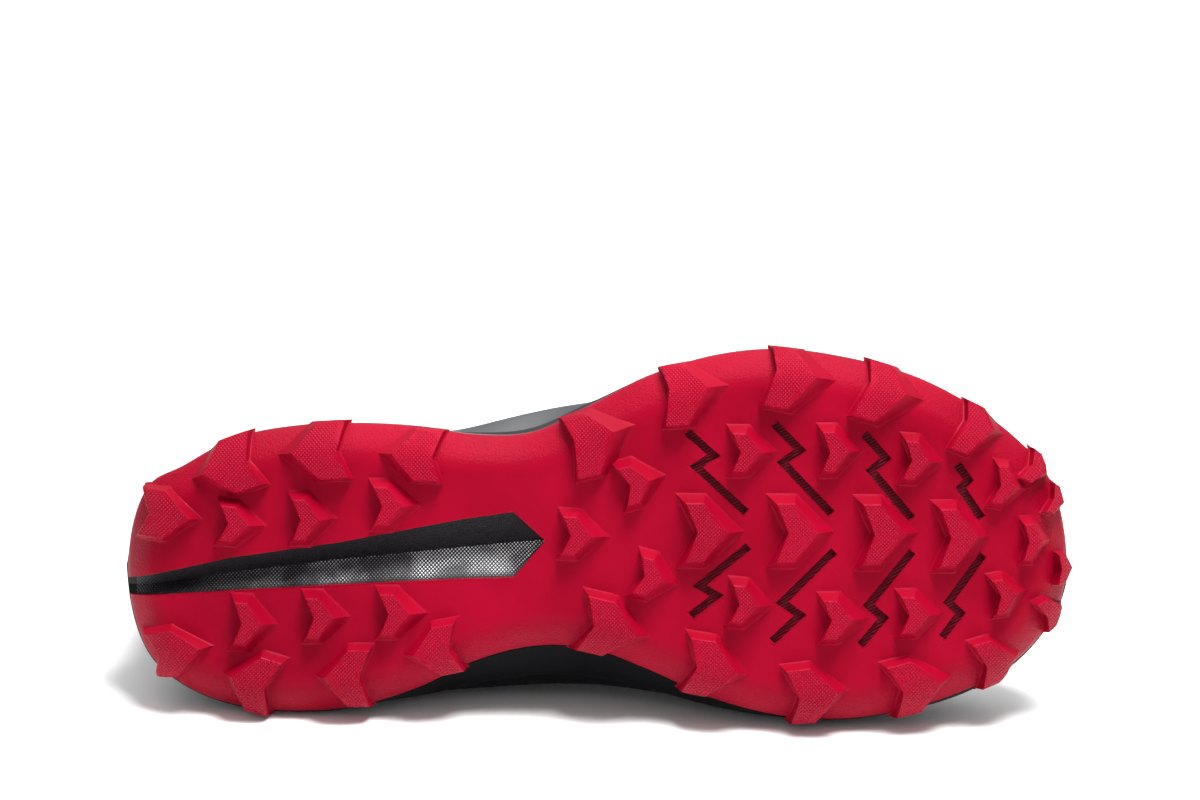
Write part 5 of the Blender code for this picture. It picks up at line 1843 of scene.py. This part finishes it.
bar = lace("lace_bar_run", [lace_path(*EYELETS[0], 0.0, False)])
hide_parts("lace_bar")
for k in range(EYELET_COUNT - 1):
    low, high = EYELETS[k], EYELETS[k + 1]
    over = 0.0007 if k % 2 else -0.0007
    runs = [lace_path(low[0], high[1], over, True), lace_path(low[1], high[0], -over, True)]
    made = lace(f"lace_runs_{k + 1}", runs)
    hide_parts(f"lace_cross_{k + 1}")
    tell(made)

# %% [markdown]
# ## Stitches
#
# A row of stitches holds the lining at the collar, and two rows hold the eyestay.
# A stitch is a short thread that dips at both ends. One small rod of a few dozen
# faces is placed hundreds of times along a line by one array calculation.

# %% Rows of stitches
def stitches(name, around, rise, lift, pitch, long, thick):
    """Rods at even steps along a line on the upper, each turned along the line."""
    spots = skin(around, rise, lift)
    normals = skin(around, rise, lift + 0.001) - spots
    walked = np.concatenate(([0], np.cumsum(np.linalg.norm(np.diff(spots, axis=0), axis=1))))
    at = np.arange(pitch / 2, walked[-1] - pitch / 2, pitch)
    spot, ahead, normal = [
        np.stack([np.interp(at + step, walked, source[:, k]) for k in range(3)], 1)
        for step, source in ((0, spots), (long / 2, spots), (0, normals))
    ]
    along = ahead - spot
    along /= np.linalg.norm(along, axis=1, keepdims=True)
    side = np.cross(normal, along)
    side /= np.linalg.norm(side, axis=1, keepdims=True)
    up = np.cross(along, side)
    turn = np.arange(6) * math.tau / 6
    place = np.linspace(-1, 1, 6)
    taper = np.sqrt(np.clip(1 - np.abs(place) ** 3, 0.02, 1))
    a = place[:, None] * long / 2 + 0 * turn
    b = taper[:, None] * np.cos(turn) * thick / 2
    c = taper[:, None] * np.sin(turn) * thick / 2 - (np.abs(place) ** 2)[:, None] * thick * 0.8
    spot, along, side, up = (way[:, None, None] for way in (spot, along, side, up))
    grid = spot + along * a[..., None] + side * b[..., None] + up * c[..., None]
    count = a.size
    unit = quads(6, 6, round_columns=True)
    faces = (unit[None] + (np.arange(len(at)) * count)[:, None, None]).reshape(-1, 4)
    obj = piece(name, grid.reshape(-1, 3), faces, weld=0)
    filled(obj)
    obj.data.materials.append(thread)
    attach(obj, "root")
    return tell(obj)


def thread_finish():
    """Twisted thread: dark grey with a slight shine along the twist."""
    made = Finish("thread", (0.060, 0.060, 0.066), 0.55, Sheen_Weight=0.2)
    twist = made.noise(made.spot(), 2500.0, 1.0)
    made.set("Normal", made.bump(twist, 0.0001))
    made.set("Base Color", made.mix(twist, (0.035, 0.035, 0.04), (0.085, 0.085, 0.092)))
    return made.material


thread = thread_finish()
collar_line = np.linspace(-0.46, 0.46, 400)
stitches("collar_stitches", collar_line, 0.955, 0.0002, 0.0032, 0.0023, 0.0006)
stay_line = np.linspace(0.53, 1.47, 800)
stitches("eyestay_stitches", stay_line, 0.825, OVERLAY_GAP + OVERLAY, 0.0030, 0.0022, 0.0006)
stitches("throat_stitches", stay_line, 0.975, OVERLAY_GAP + OVERLAY, 0.0030, 0.0022, 0.0006)

# %% [markdown]
# ## Camera, floor and light
#
# The picture is a catalogue view: a long lens looks straight at the sole, a touch
# from above, on a seamless white ground. The camera is placed in the shoe's own
# axes and laid down with it. A large soft light hangs overhead. Two weak ones
# stand beside the camera and behind the shoe, to soften the shadows.

# %% Camera
LOOK_DOWN = math.radians(5.0)
ROLL = math.radians(0.29)
AIM = (0.1483, -0.0548, 0.0)
DISTANCE = 1.3928


def place_camera():
    """Looks at the sole from its side of the floor, tipped up by a few degrees and rolled by
    a third of a degree, with the toe to the right and the outer side of the foot on top."""
    back = TURN @ np.array((0, -math.sin(LOOK_DOWN), -math.cos(LOOK_DOWN)))
    right = TURN @ np.array((1.0, 0, 0))
    up = np.cross(back, right)
    level, high = math.cos(ROLL), math.sin(ROLL)
    right, up = right * level + up * high, up * level - right * high
    spot = lay(AIM) + back * DISTANCE
    data = bpy.data.cameras.new("view")
    data.sensor_width = 36
    data.lens = 135
    data.clip_end = 50
    camera = bpy.data.objects.new("view", data)
    camera.matrix_world = Matrix((
        (right[0], up[0], back[0], spot[0]),
        (right[1], up[1], back[1], spot[1]),
        (right[2], up[2], back[2], spot[2]),
        (0, 0, 0, 1),
    ))
    bpy.context.scene.collection.objects.link(camera)
    bpy.context.scene.camera = camera
    return camera


camera = place_camera()
print("camera at", [round(c, 3) for c in camera.matrix_world.translation])

# %% Floor and surroundings
WORLD_FLOOR = 0.03
SOFT_FILL = 0.42


def studio_floor():
    """Plain sheet far larger than the view."""
    mesh = bpy.data.meshes.new("studio_floor")
    mesh.from_pydata([(-8, -8, 0), (8, -8, 0), (8, 12, 0), (-8, 12, 0)], [], [(0, 1, 2, 3)])
    obj = bpy.data.objects.new("studio_floor", mesh)
    bpy.context.scene.collection.objects.link(obj)
    made = Finish("studio_white", (0.86, 0.86, 0.865), 0.75)
    mesh.materials.append(made.material)
    return obj


studio_floor()


def studio_world():
    """Surroundings: plain white where they are seen, and as light a bright ceiling and
    back that fall off to a dim front, as in a room with one wide window overhead. An even
    soft light reaches matt surfaces from all around, like light from white walls."""
    world = bpy.data.worlds.new("studio")
    world.use_nodes = True
    tree = world.node_tree
    back = tree.nodes["Background"]
    seen = tree.nodes.new("ShaderNodeBackground")
    seen.inputs["Strength"].default_value = 1.0
    seen.inputs["Color"].default_value = (1, 1, 1, 1)
    way = tree.nodes.new("ShaderNodeTexCoord")
    parts = tree.nodes.new("ShaderNodeSeparateXYZ")
    tree.links.new(way.outputs["Generated"], parts.inputs[0])
    total = None
    for place, low, high, strength in ((2, 0.0, 0.9, 0.45), (1, -0.2, 0.9, 0.10)):
        ramp = tree.nodes.new("ShaderNodeMapRange")
        ramp.inputs[1].default_value = low
        ramp.inputs[2].default_value = high
        ramp.inputs[3].default_value = 0.0
        ramp.inputs[4].default_value = strength
        tree.links.new(parts.outputs[place], ramp.inputs[0])
        add = tree.nodes.new("ShaderNodeMath")
        add.inputs[1].default_value = WORLD_FLOOR
        tree.links.new(ramp.outputs[0], add.inputs[0])
        if total is not None:
            tree.links.new(total, add.inputs[1])
        total = add.outputs[0]
    path = tree.nodes.new("ShaderNodeLightPath")
    soft = tree.nodes.new("ShaderNodeMath")
    soft.operation = "MULTIPLY_ADD"
    soft.inputs[1].default_value = SOFT_FILL
    tree.links.new(path.outputs["Is Diffuse Ray"], soft.inputs[0])
    tree.links.new(total, soft.inputs[2])
    tree.links.new(soft.outputs[0], back.inputs["Strength"])
    back.inputs["Color"].default_value = (1, 1, 1, 1)
    pick = tree.nodes.new("ShaderNodeMixShader")
    tree.links.new(path.outputs["Is Camera Ray"], pick.inputs[0])
    tree.links.new(back.outputs[0], pick.inputs[1])
    tree.links.new(seen.outputs[0], pick.inputs[2])
    tree.links.new(pick.outputs[0], tree.nodes["World Output"].inputs[0])
    bpy.context.scene.world = world


studio_world()
bpy.context.scene.view_settings.view_transform = "Standard"
print("floor and surroundings ready")

# %% Lights
Light = namedtuple("Light", "name spot aim size power")
LIGHTS = [
    Light("overhead", (0.18, -0.27, 1.10), (0, -0.02, 0.06), 0.45, 25),
    Light("beside_camera", (-0.5, -1.7, 0.9), (0, 0, 0.05), 1.0, 0.8),
    Light("behind", (-0.1, 0.6, 1.3), (0, 0.1, 0.0), 1.2, 6),
]
for row in LIGHTS:
    data = bpy.data.lights.new(row.name, "AREA")
    data.energy = row.power
    data.size = row.size
    lamp = bpy.data.objects.new(row.name, data)
    lamp.location = row.spot
    lamp.rotation_euler = (Vector(row.aim) - Vector(row.spot)).to_track_quat("-Z", "Y").to_euler()
    bpy.context.scene.collection.objects.link(lamp)
print("lights", len(LIGHTS))
